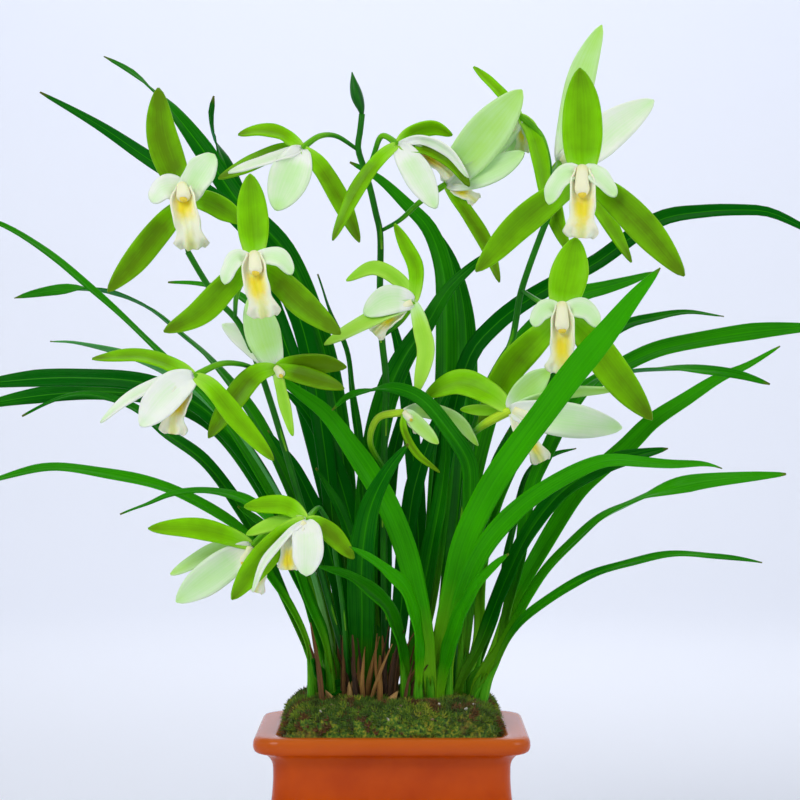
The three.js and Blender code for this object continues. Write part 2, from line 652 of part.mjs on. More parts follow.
    petals: [
      [7, [-6, 4, 4], [-17, -4, 7]],
      [8, [6, 6, 4], [16, -2, 7]],
    ],
    lip: [[14, [0, -10, 6], [-1, -22, 9], [-1, -27, 6]]],
    column: [[8, [0, 2, 6], [0, -5, 9]]] },
  { name: "flower_right_back", centre: [84, 386, 4],
    stalk: { on: "scape_right", height: "tip", via: [] },
    sepals: [
      [13, [5, 18, -3], [12, 47, -5], [20, 67, -4]],
      [7, [-4, -14, 6], [-2, -28, 10], [4, -43, 12]],
      [7, [12, -12, 4], [23, -28, 6], [35, -48, 8]],
    ],
    petals: [[18, [14, 6, -5], [28, 18, -8], [45, 30, -8]]],
    lip: [],
    column: [[6, [4, 2, 3], [7, 4, 5]]] },
  { name: "flower_right_mid", centre: [85, 310, 42],
    stalk: { on: "scape_right", height: 322, via: [[74, 316, 28]] },
    sepals: [
      [18, [1, 8, -2], [4, 22, 0], [7, 36, 4]],
      [14, [-8, -8, -3], [-26, -27, -18], [-40, -55, -32]],
      [15, [10, -8, -1], [28, -32, 0], [44, -51, 4]],
    ],
    petals: [
      [10, [6, 3, 3], [13, -3, 5]],
      [8, [-6, 3, 3], [-11, -3, 5]],
    ],
    lip: [[11, [0, -10, 3], [0, -24, 4], [-1, -29, 1]]],
    column: [[8, [0, -2, 3], [0, -12, 5]]] },
  { name: "flower_right_low", centre: [59, 262, 34],
    stalk: { on: "scape_right", height: 250, via: [[48, 256, 28]] },
    sepals: [
      [12, [8, 10, 2], [20, 20, 4]],
      [11, [-10, 8, -2], [-26, 14, -9], [-42, 7, -14]],
    ],
    petals: [
      [18, [22, -4, 5], [36, -6, 8], [55, -7, 10]],
      [5, [22, 8, 2], [52, 10, 6]],
      [5, [-12, 0, -8], [-24, 0, -16]],
    ],
    lip: [[9, [8, -14, 5], [16, -24, 7]]],
    column: [[6, [6, -2, 4], [11, -5, 6]]] },
  { name: "flower_mid_side", centre: [11, 316, 26],
    stalk: { on: "scape_middle", height: 298, via: [[4, 306, 16]] },
    sepals: [
      [6, [1, 17, 0], [-4, 28, 1], [-10, 36, 2]],
      [7, [4, -14, 3], [6, -24, 4], [1, -44, 6]],
    ],
    petals: [
      [12, [-12, 1, 3], [-24, -5, 5]],
      [6, [-20, -8, 4], [-44, -20, 8]],
      [6, [-8, 11, -6], [-20, 17, -8], [-33, 11, -7]],
    ],
    lip: [[8, [-12, -8, 2], [-19, -15, 3]]],
    column: [[5, [-5, -2, 2], [-9, -5, 3]]] },
  { name: "flower_mid_low", centre: [6, 261, 34],
    stalk: { on: "scape_middle", height: 232, via: [[-11, 247, 20], [-7, 258, 26]] },
    sepals: [
      [6, [10, 1, -14], [26, -4, -20], [36, -16, -22]],
      [3, [0, -8, 4], [6, -20, 7], [17, -28, 8]],
    ],
    petals: [[6, [3, -2, 3], [9, -8, 5], [16, -15, 6]]],
    lip: [[4, [3, -4, 0], [7, -10, 1]]],
    column: [[4, [2, -2, 2], [4, -4, 4]]] },
];
for (const flower of flowers) {
  addFlower(flower);
}

export default group;
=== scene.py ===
import math
import random

import bmesh
import bpy
from mathutils import Matrix, Vector, noise


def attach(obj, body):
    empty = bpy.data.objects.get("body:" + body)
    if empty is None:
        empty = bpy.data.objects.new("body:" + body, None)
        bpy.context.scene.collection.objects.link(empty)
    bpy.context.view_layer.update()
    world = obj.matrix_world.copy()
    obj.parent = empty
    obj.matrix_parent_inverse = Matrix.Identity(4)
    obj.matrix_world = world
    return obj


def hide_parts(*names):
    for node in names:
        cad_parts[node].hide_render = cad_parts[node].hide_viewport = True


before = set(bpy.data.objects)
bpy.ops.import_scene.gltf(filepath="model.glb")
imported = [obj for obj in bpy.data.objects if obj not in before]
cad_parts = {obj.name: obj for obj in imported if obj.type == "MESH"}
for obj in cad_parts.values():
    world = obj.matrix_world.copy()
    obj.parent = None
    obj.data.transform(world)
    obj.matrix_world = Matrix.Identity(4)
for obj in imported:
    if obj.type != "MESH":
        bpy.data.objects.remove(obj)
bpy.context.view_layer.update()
MM = 0.001

# The pot. A slip-cast stoneware body, rectangular with rounded corners, with a swelling belly, a
# hollow neck and a thick lip rolled outwards. It is dipped in an orange-brown gloss glaze and fired.
# Its profile goes up the outside, over the lip and down the inside: half the pot's length, and height.
POT_DEPTH_RATIO = 0.77
POT_CORNER_RATIO = 0.2
POT_CORNER_SEGMENTS = 14
POT_WALL_CUTS = 5
RIM_HALF_LENGTH = 67
MOUTH_HALF_LENGTH = 54
POT_HEIGHT = 105
POT_FLOOR = 8
LIP_FOOT = 96.5
POT_PROFILE = [
    (47, 0), (49, 1.5), (53, 16), (57, 34), (59.2, 52), (59.2, 66), (58, 77), (57.6, 86), (58.2, 92),
    (61.5, 96), (RIM_HALF_LENGTH - 1, 97.5), (RIM_HALF_LENGTH, 100.5),
    (RIM_HALF_LENGTH - 0.8, POT_HEIGHT - 1), (RIM_HALF_LENGTH - 3, POT_HEIGHT),
    (MOUTH_HALF_LENGTH + 1.5, POT_HEIGHT - 0.5), (MOUTH_HALF_LENGTH, POT_HEIGHT - 2),
    (52.5, 92), (52.2, 84), (52.6, 72), (53.6, 52), (51.5, 34), (47.5, 16), (43, POT_FLOOR),
]
POT_PROFILE_STEPS = 150
DRAIN_HOLE_RADIUS = 5
DRAIN_HOLE_OFFSET = 22
DRILL_SIDES = 32
DRILL_SPARE = 4
GLAZE_DEEP = "#b43e00"
GLAZE_BODY = "#ca4e00"
GLAZE_THIN = "#cc6620"
GLAZE_CLOUD = 26
GLAZE_RIPPLE = 7


def linear(colour):
    """An sRGB hex colour as linear red, green, blue and alpha."""
    shares = [int(colour[start:start + 2], 16) / 255 for start in (1, 3, 5)]
    straight = [share / 12.92 if share <= 0.04045 else ((share + 0.055) / 1.055) ** 2.4 for share in shares]
    return straight + [1.0]


def first_output(node):
    """A node's first output in use."""
    return next(socket for socket in node.outputs if socket.enabled)


def add_node(tree, kind, inputs=None, stops=None, **settings):
    """Adds a node, sets what it is, and gives a ramp its coloured stops. An input is a value, a
    socket to link, or a node, whose first output in use is linked."""
    made = tree.nodes.new(kind)
    for key, value in settings.items():
        setattr(made, key, value)
    for key, value in (inputs or {}).items():
        if isinstance(value, bpy.types.Node):
            value = first_output(value)
        if isinstance(value, bpy.types.NodeSocket):
            tree.links.new(value, made.inputs[key])
        else:
            made.inputs[key].default_value = value
    for place, (position, colour) in enumerate(stops or []):
        if place > 1:
            made.color_ramp.elements.new(position)
        made.color_ramp.elements[place].position = position
        made.color_ramp.elements[place].color = linear(colour)
    return made


def new_material(name):
    """A material with its node tree."""
    made = bpy.data.materials.new(name)
    made.use_nodes = True
    return made, made.node_tree


def finish_surface(tree, colour, bump, finish):
    """Links a surface's colour and bump nodes to its shader, and sets the shader's other sockets."""
    shader = tree.nodes["Principled BSDF"]
    if colour:
        tree.links.new(first_output(colour), shader.inputs["Base Color"])
    if bump:
        tree.links.new(bump.outputs["Normal"], shader.inputs["Normal"])
    for socket, value in finish.items():
        shader.inputs[socket].default_value = value


def smooth_route(points, count):
    """Evenly spaced places on a smooth curve through points, each with its share of the way by points."""
    ends = [points[0] * 2 - points[1], *points, points[-1] * 2 - points[-2]]
    fine_steps = 12
    fine = []
    for span in range(len(points) - 1):
        before, start, end, after = ends[span:span + 4]
        lead = (start - before).length ** 0.5
        reach = (end - start).length ** 0.5
        trail = (after - end).length ** 0.5
        leave = ((start - before) / lead - (end - before) / (lead + reach) + (end - start) / reach) * reach
        arrive = ((end - start) / reach - (after - start) / (reach + trail) + (after - end) / trail) * reach
        for step in range(fine_steps):
            part = step / fine_steps
            place = (start * (2 * part**3 - 3 * part**2 + 1) + end * (3 * part**2 - 2 * part**3)
                     + leave * (part**3 - 2 * part**2 + part) + arrive * (part**3 - part**2))
            fine.append((place, (span + part) / (len(points) - 1)))
    fine.append((points[-1], 1.0))
    lengths = [0.0]
    for (one, _), (two, _) in zip(fine, fine[1:]):
        lengths.append(lengths[-1] + (two - one).length)
    places = []
    segment = 0
    for step in range(count + 1):
        wanted = lengths[-1] * step / count
        while segment < len(fine) - 2 and lengths[segment + 1] < wanted:
            segment += 1
        gap = max(lengths[segment + 1] - lengths[segment], 1e-9)
        share = (wanted - lengths[segment]) / gap
        places.append((fine[segment][0].lerp(fine[segment + 1][0], share),
                       fine[segment][1] + (fine[segment + 1][1] - fine[segment][1]) * share))
    return places


def finish_piece(name, shape, materials, slot, replaced=()):
    """Makes the object of a shaped mesh, smooth, riding on the one body and standing for CAD nodes."""
    mesh = bpy.data.meshes.new(name)
    shape.to_mesh(mesh)
    shape.free()
    for surface in materials:
        mesh.materials.append(surface)
    mesh.polygons.foreach_set("use_smooth", [True] * len(mesh.polygons))
    made = bpy.data.objects.new(name, mesh)
    bpy.context.scene.collection.objects.link(made)
    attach(made, "root")
    if replaced:
        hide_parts(*replaced)
    return made


def raise_ring(shape, ring, grow, lift):
    """Extrudes a ring of edges, then scales it about the pot's axis and lifts it."""
    grown = bmesh.ops.extrude_edge_only(shape, edges=ring)["geom"]
    corners = [item for item in grown if isinstance(item, bmesh.types.BMVert)]
    bmesh.ops.scale(shape, vec=(grow, grow, 1), verts=corners)
    bmesh.ops.translate(shape, vec=(0, 0, lift), verts=corners)
    return [item for item in grown if isinstance(item, bmesh.types.BMEdge)]


profile_points = [Vector((half_length * MM, height * MM, 0)) for half_length, height in POT_PROFILE]
profile = [place for place, _ in smooth_route(profile_points, POT_PROFILE_STEPS)]
pot_shape = bmesh.new()
bmesh.ops.create_grid(pot_shape, x_segments=1, y_segments=1, size=1)
bmesh.ops.scale(pot_shape, vec=(1, POT_DEPTH_RATIO, 1), verts=pot_shape.verts)
bmesh.ops.bevel(pot_shape, geom=pot_shape.verts[:], offset=POT_CORNER_RATIO, offset_type="OFFSET",
                segments=POT_CORNER_SEGMENTS, profile=0.5, affect="VERTICES", material=-1)
straight_edges = [edge for edge in pot_shape.edges if edge.calc_length() > 0.5]
bmesh.ops.subdivide_edges(pot_shape, edges=straight_edges, cuts=POT_WALL_CUTS)
bmesh.ops.scale(pot_shape, vec=(profile[0].x, profile[0].x, 1), verts=pot_shape.verts)
ring = pot_shape.edges[:]
for lower, upper in zip(profile, profile[1:]):
    ring = raise_ring(pot_shape, ring, upper.x / lower.x, upper.y - lower.y)
bmesh.ops.contextual_create(pot_shape, geom=ring)
bmesh.ops.recalc_face_normals(pot_shape, faces=pot_shape.faces)

# Stoneware under a clear orange gloss: deeper and lighter in soft clouds, thin and lighter where it ran
# off the lip, with a soft orange-peel ripple, so the lights stay sharp but break up slightly on the walls.
glaze, tree = new_material("orange_gloss_glaze")
where = add_node(tree, "ShaderNodeTexCoord").outputs["Object"]
cloud = add_node(tree, "ShaderNodeTexNoise", {"Vector": where, "Scale": 1 / (GLAZE_CLOUD * MM),
                                              "Detail": 4.0})
height = add_node(tree, "ShaderNodeSeparateXYZ", {"Vector": where}).outputs["Z"]
lip_share = add_node(tree, "ShaderNodeMapRange", {"Value": height, "From Min": LIP_FOOT * MM,
                                                  "From Max": POT_HEIGHT * MM, "To Max": 0.75})
body = add_node(tree, "ShaderNodeValToRGB", {"Fac": cloud}, stops=[(0.3, GLAZE_DEEP), (0.7, GLAZE_BODY)])
coloured = add_node(tree, "ShaderNodeMix", {"Factor": lip_share, "A": body, "B": linear(GLAZE_THIN)},
                    data_type="RGBA")
ripple = add_node(tree, "ShaderNodeTexNoise", {"Vector": where, "Scale": 1 / (GLAZE_RIPPLE * MM),
                                               "Detail": 1.0})
bump = add_node(tree, "ShaderNodeBump", {"Height": ripple, "Strength": 0.12, "Distance": 0.6 * MM})
finish_surface(tree, coloured, bump, {"Roughness": 0.22, "Specular IOR Level": 0.08, "Coat Weight": 0.2,
                                      "Coat Roughness": 0.06})
pot = finish_piece("pot_body", pot_shape, [glaze], "glaze", ["pot"])

for side in (-1, 1):
    drill_shape = bmesh.new()
    middle = Matrix.Translation((side * DRAIN_HOLE_OFFSET * MM, 0, POT_FLOOR * MM / 2))
    bmesh.ops.create_cone(drill_shape, cap_ends=True, segments=DRILL_SIDES, radius1=DRAIN_HOLE_RADIUS * MM,
                          radius2=DRAIN_HOLE_RADIUS * MM, depth=(POT_FLOOR + DRILL_SPARE) * MM, matrix=middle)
    drill_mesh = bpy.data.meshes.new("drill")
    drill_shape.to_mesh(drill_mesh)
    drill_shape.free()
    drill = bpy.data.objects.new("drill", drill_mesh)
    bpy.context.scene.collection.objects.link(drill)
    cut = pot.modifiers.new("drain_hole", "BOOLEAN")
    cut.object = drill
    cut.operation = "DIFFERENCE"
    bpy.context.view_layer.update()
    drilled = bpy.data.meshes.new_from_object(pot.evaluated_get(bpy.context.evaluated_depsgraph_get()))
    pot.modifiers.clear()
    pot.data = drilled
    bpy.data.objects.remove(drill)

# Potting mix. Crumbled bark and grit that fills the belly and carries the moss. It shows only
# through the two drain holes, so the plain filling is kept and given its own surface: crumbs 3 mm
# across, with painted shade darkening the gaps between them.
CRUMB_SIZE = 3
potting_mix, tree = new_material("bark_and_grit")
where = add_node(tree, "ShaderNodeTexCoord").outputs["Object"]
crumbs = add_node(tree, "ShaderNodeTexVoronoi", {"Vector": where, "Scale": 1 / (CRUMB_SIZE * MM)})
# Painted shade: the colour darkens towards the gaps between the crumbs.
crumbs_with_painted_gap_shade = add_node(tree, "ShaderNodeValToRGB", {"Fac": crumbs},
                        stops=[(0.1, "#5a4230"), (0.7, "#1e140c")])
bump = add_node(tree, "ShaderNodeBump", {"Height": crumbs, "Strength": 0.8, "Distance": 1 * MM}, invert=True)
finish_surface(tree, crumbs_with_painted_gap_shade, bump, {"Roughness": 0.95})
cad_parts["potting_mix"].data.materials.clear()
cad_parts["potting_mix"].data.materials.append(potting_mix)

# Moss mound. A live cushion pressed into the mouth of the pot and heaped around the stems: a lumpy
# body, with thousands of short pointed shoots standing on it, some brown bits and a little grit.
MOSS_TOP = 120
MOSS_EDGE = 103.5
MOSS_HALF_LENGTH = 53.2
MOSS_SQUARENESS = 6
MOSS_SKIRT = 4
MOSS_COLUMNS = 120
MOSS_ROWS = 96
LUMP_SIZE = 8
LUMP_HEIGHT = 2.6
LUMP_SPREAD = 0.4
BROWN_PATCH = 14
GRAIN_SIZE = 1.5
# The darkest of these colours is painted shade between the shoots. The lightest is the tips' own
# yellow-green, brightened by painted light.
MOSS_PAINTED_SHADE = "#12300a"
MOSS_GREEN = "#527e14"
MOSS_TIPS_AND_PAINTED_LIGHT = "#b4ac2c"
MOSS_BROWN = "#7a5222"


def moss_place(across, along):
    """The place on the mound of a point of the square from -1 to 1, rounded to the mouth and heaped."""
    half_length = MOSS_HALF_LENGTH * MM
    half_depth = half_length * POT_DEPTH_RATIO
    x = across * half_length
    y = along * half_depth
    reach = max(abs(across), abs(along))
    away = math.hypot(across, along)
    if away < 1e-6:
        return Vector((0, 0, MOSS_TOP * MM)), 0.0
    bulge = abs(across / away) ** MOSS_SQUARENESS + abs(along / away) ** MOSS_SQUARENESS
    draw_in = bulge ** (-1 / MOSS_SQUARENESS) * reach / away
    dome = (1 - min(reach, 1) ** 8) ** 0.5
    place = Vector((x * draw_in, y * draw_in, (MOSS_EDGE + (MOSS_TOP - MOSS_EDGE) * dome) * MM))
    lump = noise.noise(place / (LUMP_SIZE * MM)) * LUMP_HEIGHT * MM
    outwards = Vector((x, y, 0)).normalized() * reach**6
    place += (Vector((0, 0, 1)) * dome + outwards * LUMP_SPREAD) * lump
    return place, reach


moss_shape = bmesh.new()
bmesh.ops.create_grid(moss_shape, x_segments=MOSS_COLUMNS, y_segments=MOSS_ROWS, size=1)
for corner in moss_shape.verts:
    corner.co = moss_place(corner.co.x, corner.co.y)[0]
edge_ring = [edge for edge in moss_shape.edges if edge.is_boundary]
skirt = bmesh.ops.extrude_edge_only(moss_shape, edges=edge_ring)["geom"]
skirt_corners = [item for item in skirt if isinstance(item, bmesh.types.BMVert)]
bmesh.ops.translate(moss_shape, vec=(0, 0, -MOSS_SKIRT * MM), verts=skirt_corners)
bmesh.ops.contextual_create(moss_shape, geom=[item for item in skirt if isinstance(item, bmesh.types.BMEdge)])
bmesh.ops.recalc_face_normals(moss_shape, faces=moss_shape.faces)

# Living moss: matt, with painted shade making it very dark between the shoots, and painted light on
# the yellow-green tips 1.5 mm across, which are partly their own colour. It is browned in patches of a
# finger's width. Its fine velvet gives the cushion a soft rim of light.
moss_green, tree = new_material("living_moss")
where = add_node(tree, "ShaderNodeTexCoord").outputs["Object"]
patches = add_node(tree, "ShaderNodeTexNoise", {"Vector": where, "Scale": 1 / (BROWN_PATCH * MM),
                                                "Detail": 3.0})
grains = add_node(tree, "ShaderNodeTexNoise", {"Vector": where, "Scale": 1 / (GRAIN_SIZE * MM),
                                               "Detail": 3.0})
# The grains run from painted shade between the shoots to painted light on the tips.
moss_grains_painted_shade_and_light = add_node(tree, "ShaderNodeValToRGB", {"Fac": grains},
                        stops=[(0.3, MOSS_PAINTED_SHADE), (0.5, MOSS_GREEN), (0.72, MOSS_TIPS_AND_PAINTED_LIGHT)])
brown_share = add_node(tree, "ShaderNodeMapRange", {"Value": patches, "From Min": 0.6, "From Max": 0.72,
                                                    "To Max": 0.55})
coloured = add_node(tree, "ShaderNodeMix", {"Factor": brown_share, "A": moss_grains_painted_shade_and_light,
                                            "B": linear(MOSS_BROWN)}, data_type="RGBA")
bump = add_node(tree, "ShaderNodeBump", {"Height": grains, "Strength": 0.9, "Distance": 1 * MM})
finish_surface(tree, coloured, bump, {"Roughness": 0.9, "Sheen Weight": 0.2})
finish_piece("moss_cushion", moss_shape, [moss_green], "moss", ["moss_mound"])

# Moss shoots. Each tuft is a few pointed spikes that lean apart. Its tint says how fresh it is, from
# withered brown to yellow-green; fresh and withered tufts grow in patches.
TUFT_COUNT = 7000
TUFT_SPIKES = 5
SPIKE_LENGTH = 2.6
SPIKE_RADIUS = 0.42
SPIKE_LEAN = 34
TUFT_SUNK = 0.5
FRESH_PATCH = 13
WITHERED_PATCH = 8
moss_shoot, tree = new_material("moss_shoots")
tint = add_node(tree, "ShaderNodeAttribute", attribute_name="tint").outputs["Fac"]
shoot_colour = add_node(tree, "ShaderNodeValToRGB", {"Fac": tint},
                        stops=[(0.0, "#7a4e1c"), (0.14, "#46480c"), (0.4, "#466e0a"), (0.7, "#7c9a12"),
                               (1.0, "#c4b834")])
finish_surface(tree, shoot_colour, None, {"Roughness": 0.8, "Sheen Weight": 0.1})


def scatter(name, pattern, placements, surface):
    """One piece of many copies of a small shape, each with its own matrix and tint."""
    small = bpy.data.meshes.new(name + "_pattern")
    pattern.to_mesh(small)
    pattern.free()
    corners = [vertex.co.copy() for vertex in small.vertices]
    faces = [tuple(face.vertices) for face in small.polygons]
    all_corners = []
    all_faces = []
    tints = []
    for matrix, shade in placements:
        first = len(all_corners)
        all_corners.extend(matrix @ corner for corner in corners)
        all_faces.extend(tuple(first + index for index in face) for face in faces)
        tints.extend([shade] * len(corners))
    mesh = bpy.data.meshes.new(name)
    mesh.from_pydata(all_corners, [], all_faces)
    mesh.attributes.new("tint", "FLOAT", "POINT").data.foreach_set("value", tints)
    mesh.materials.append(surface)
    bpy.data.meshes.remove(small)
    made = bpy.data.objects.new(name, mesh)
    bpy.context.scene.collection.objects.link(made)
    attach(made, "root")


tuft = bmesh.new()
for spike in range(TUFT_SPIKES):
    around = Matrix.Rotation(spike * math.tau / TUFT_SPIKES, 4, "Z")
    lean = around @ Matrix.Rotation(math.radians(SPIKE_LEAN), 4, "Y")
    stand = Matrix.Translation((0, 0, SPIKE_LENGTH * MM / 2))
    bmesh.ops.create_cone(tuft, cap_ends=True, segments=3, radius1=SPIKE_RADIUS * MM, radius2=0,
                          depth=SPIKE_LENGTH * MM, matrix=lean @ stand)
random.seed(7)
tufts = []
for _ in range(TUFT_COUNT):
    across = random.uniform(-1, 1)
    along = random.uniform(-1, 1)
    place, reach = moss_place(across, along)
    leaning = Vector((place.x, place.y, 0)).normalized() * reach**5 * 1.3 + Vector((0, 0, 1))
    upright = Vector((0, 0, 1)).rotation_difference(leaning).to_matrix().to_4x4()
    freshness = noise.noise(place / (FRESH_PATCH * MM)) * 0.5 + 0.5
    shade = min(1, max(0, 0.12 + freshness * 0.75 + random.gauss(0, 0.16)))
    if noise.noise(place / (WITHERED_PATCH * MM) + Vector((5, 3, 1))) > 0.25:
        shade = random.uniform(0, 0.1)
    size = Matrix.Scale(random.uniform(0.6, 1.5), 4)
    turned = Matrix.Rotation(random.uniform(0, math.tau), 4, "Z")
    sunk = Matrix.Translation(place - Vector((0, 0, TUFT_SUNK * MM)))
    tufts.append((sunk @ upright @ turned @ size, shade))
scatter("moss_tufts", tuft, tufts, moss_shoot)

# Grit and bark bits: a few pale stones and brown chips that lie in the moss near the edge.
CHIP_COUNT = 70
CHIP_RADIUS = 1.1
CHIP_PROUD = 0.9
CHIP_SHADES = [0, 0.3, 0.5, 0.6, 0.8, 1]
chip_surface, tree = new_material("grit_and_bark_chips")
tint = add_node(tree, "ShaderNodeAttribute", attribute_name="tint").outputs["Fac"]
chip_colour = add_node(tree, "ShaderNodeValToRGB", {"Fac": tint},
                       stops=[(0.0, "#3c2814"), (0.6, "#7a5a34"), (0.85, "#a08c6e"), (1.0, "#dcd6c8")])
finish_surface(tree, chip_colour, None, {"Roughness": 0.85})
chip = bmesh.new()
bmesh.ops.create_icosphere(chip, subdivisions=1, radius=CHIP_RADIUS * MM)
chips = []
for _ in range(CHIP_COUNT):
    across = random.uniform(-0.97, 0.97)
    along = random.choice([-1, 1]) * random.uniform(0.6, 0.97)
    place = moss_place(across, along)[0] + Vector((0, 0, CHIP_PROUD * MM))
    turned = Matrix.Rotation(random.uniform(0, math.tau), 4, Vector((random.random(), random.random(), 1)))
    squash = Matrix.Diagonal((random.uniform(0.6, 1.5), random.uniform(0.5, 1), random.uniform(0.3, 0.7), 1))
    chips.append((Matrix.Translation(place) @ turned @ squash, random.choice(CHIP_SHADES)))
scatter("grit_and_chips", chip, chips, chip_surface)

# Leaves. Long leathery straps with a folded midrib. Each grows up out of the moss and arches over
# under its own weight, and some turn their dull underside to the front.
SIGHT_X = 4
SIGHT_Z = 267
SIGHT_DISTANCE = 1100
DEPTH_SPREAD = 1.3
ROOTED = 112
UPRIGHT_TOP = 125
STRAP_WIDTH = 9.5
STRAP_SPARE = 1.06
FULLEST_TURN = 58
LEAF_THICKNESS = 0.6
LEAF_STRIPS = 8
LEAF_STEPS = 66
LEAF_FOLD = 0.38
LEAF_TAPER = 0.34
LEAF_SWAY = 7
LEAF_WAVE = 0.35
BRIGHT_FROM = 0.42
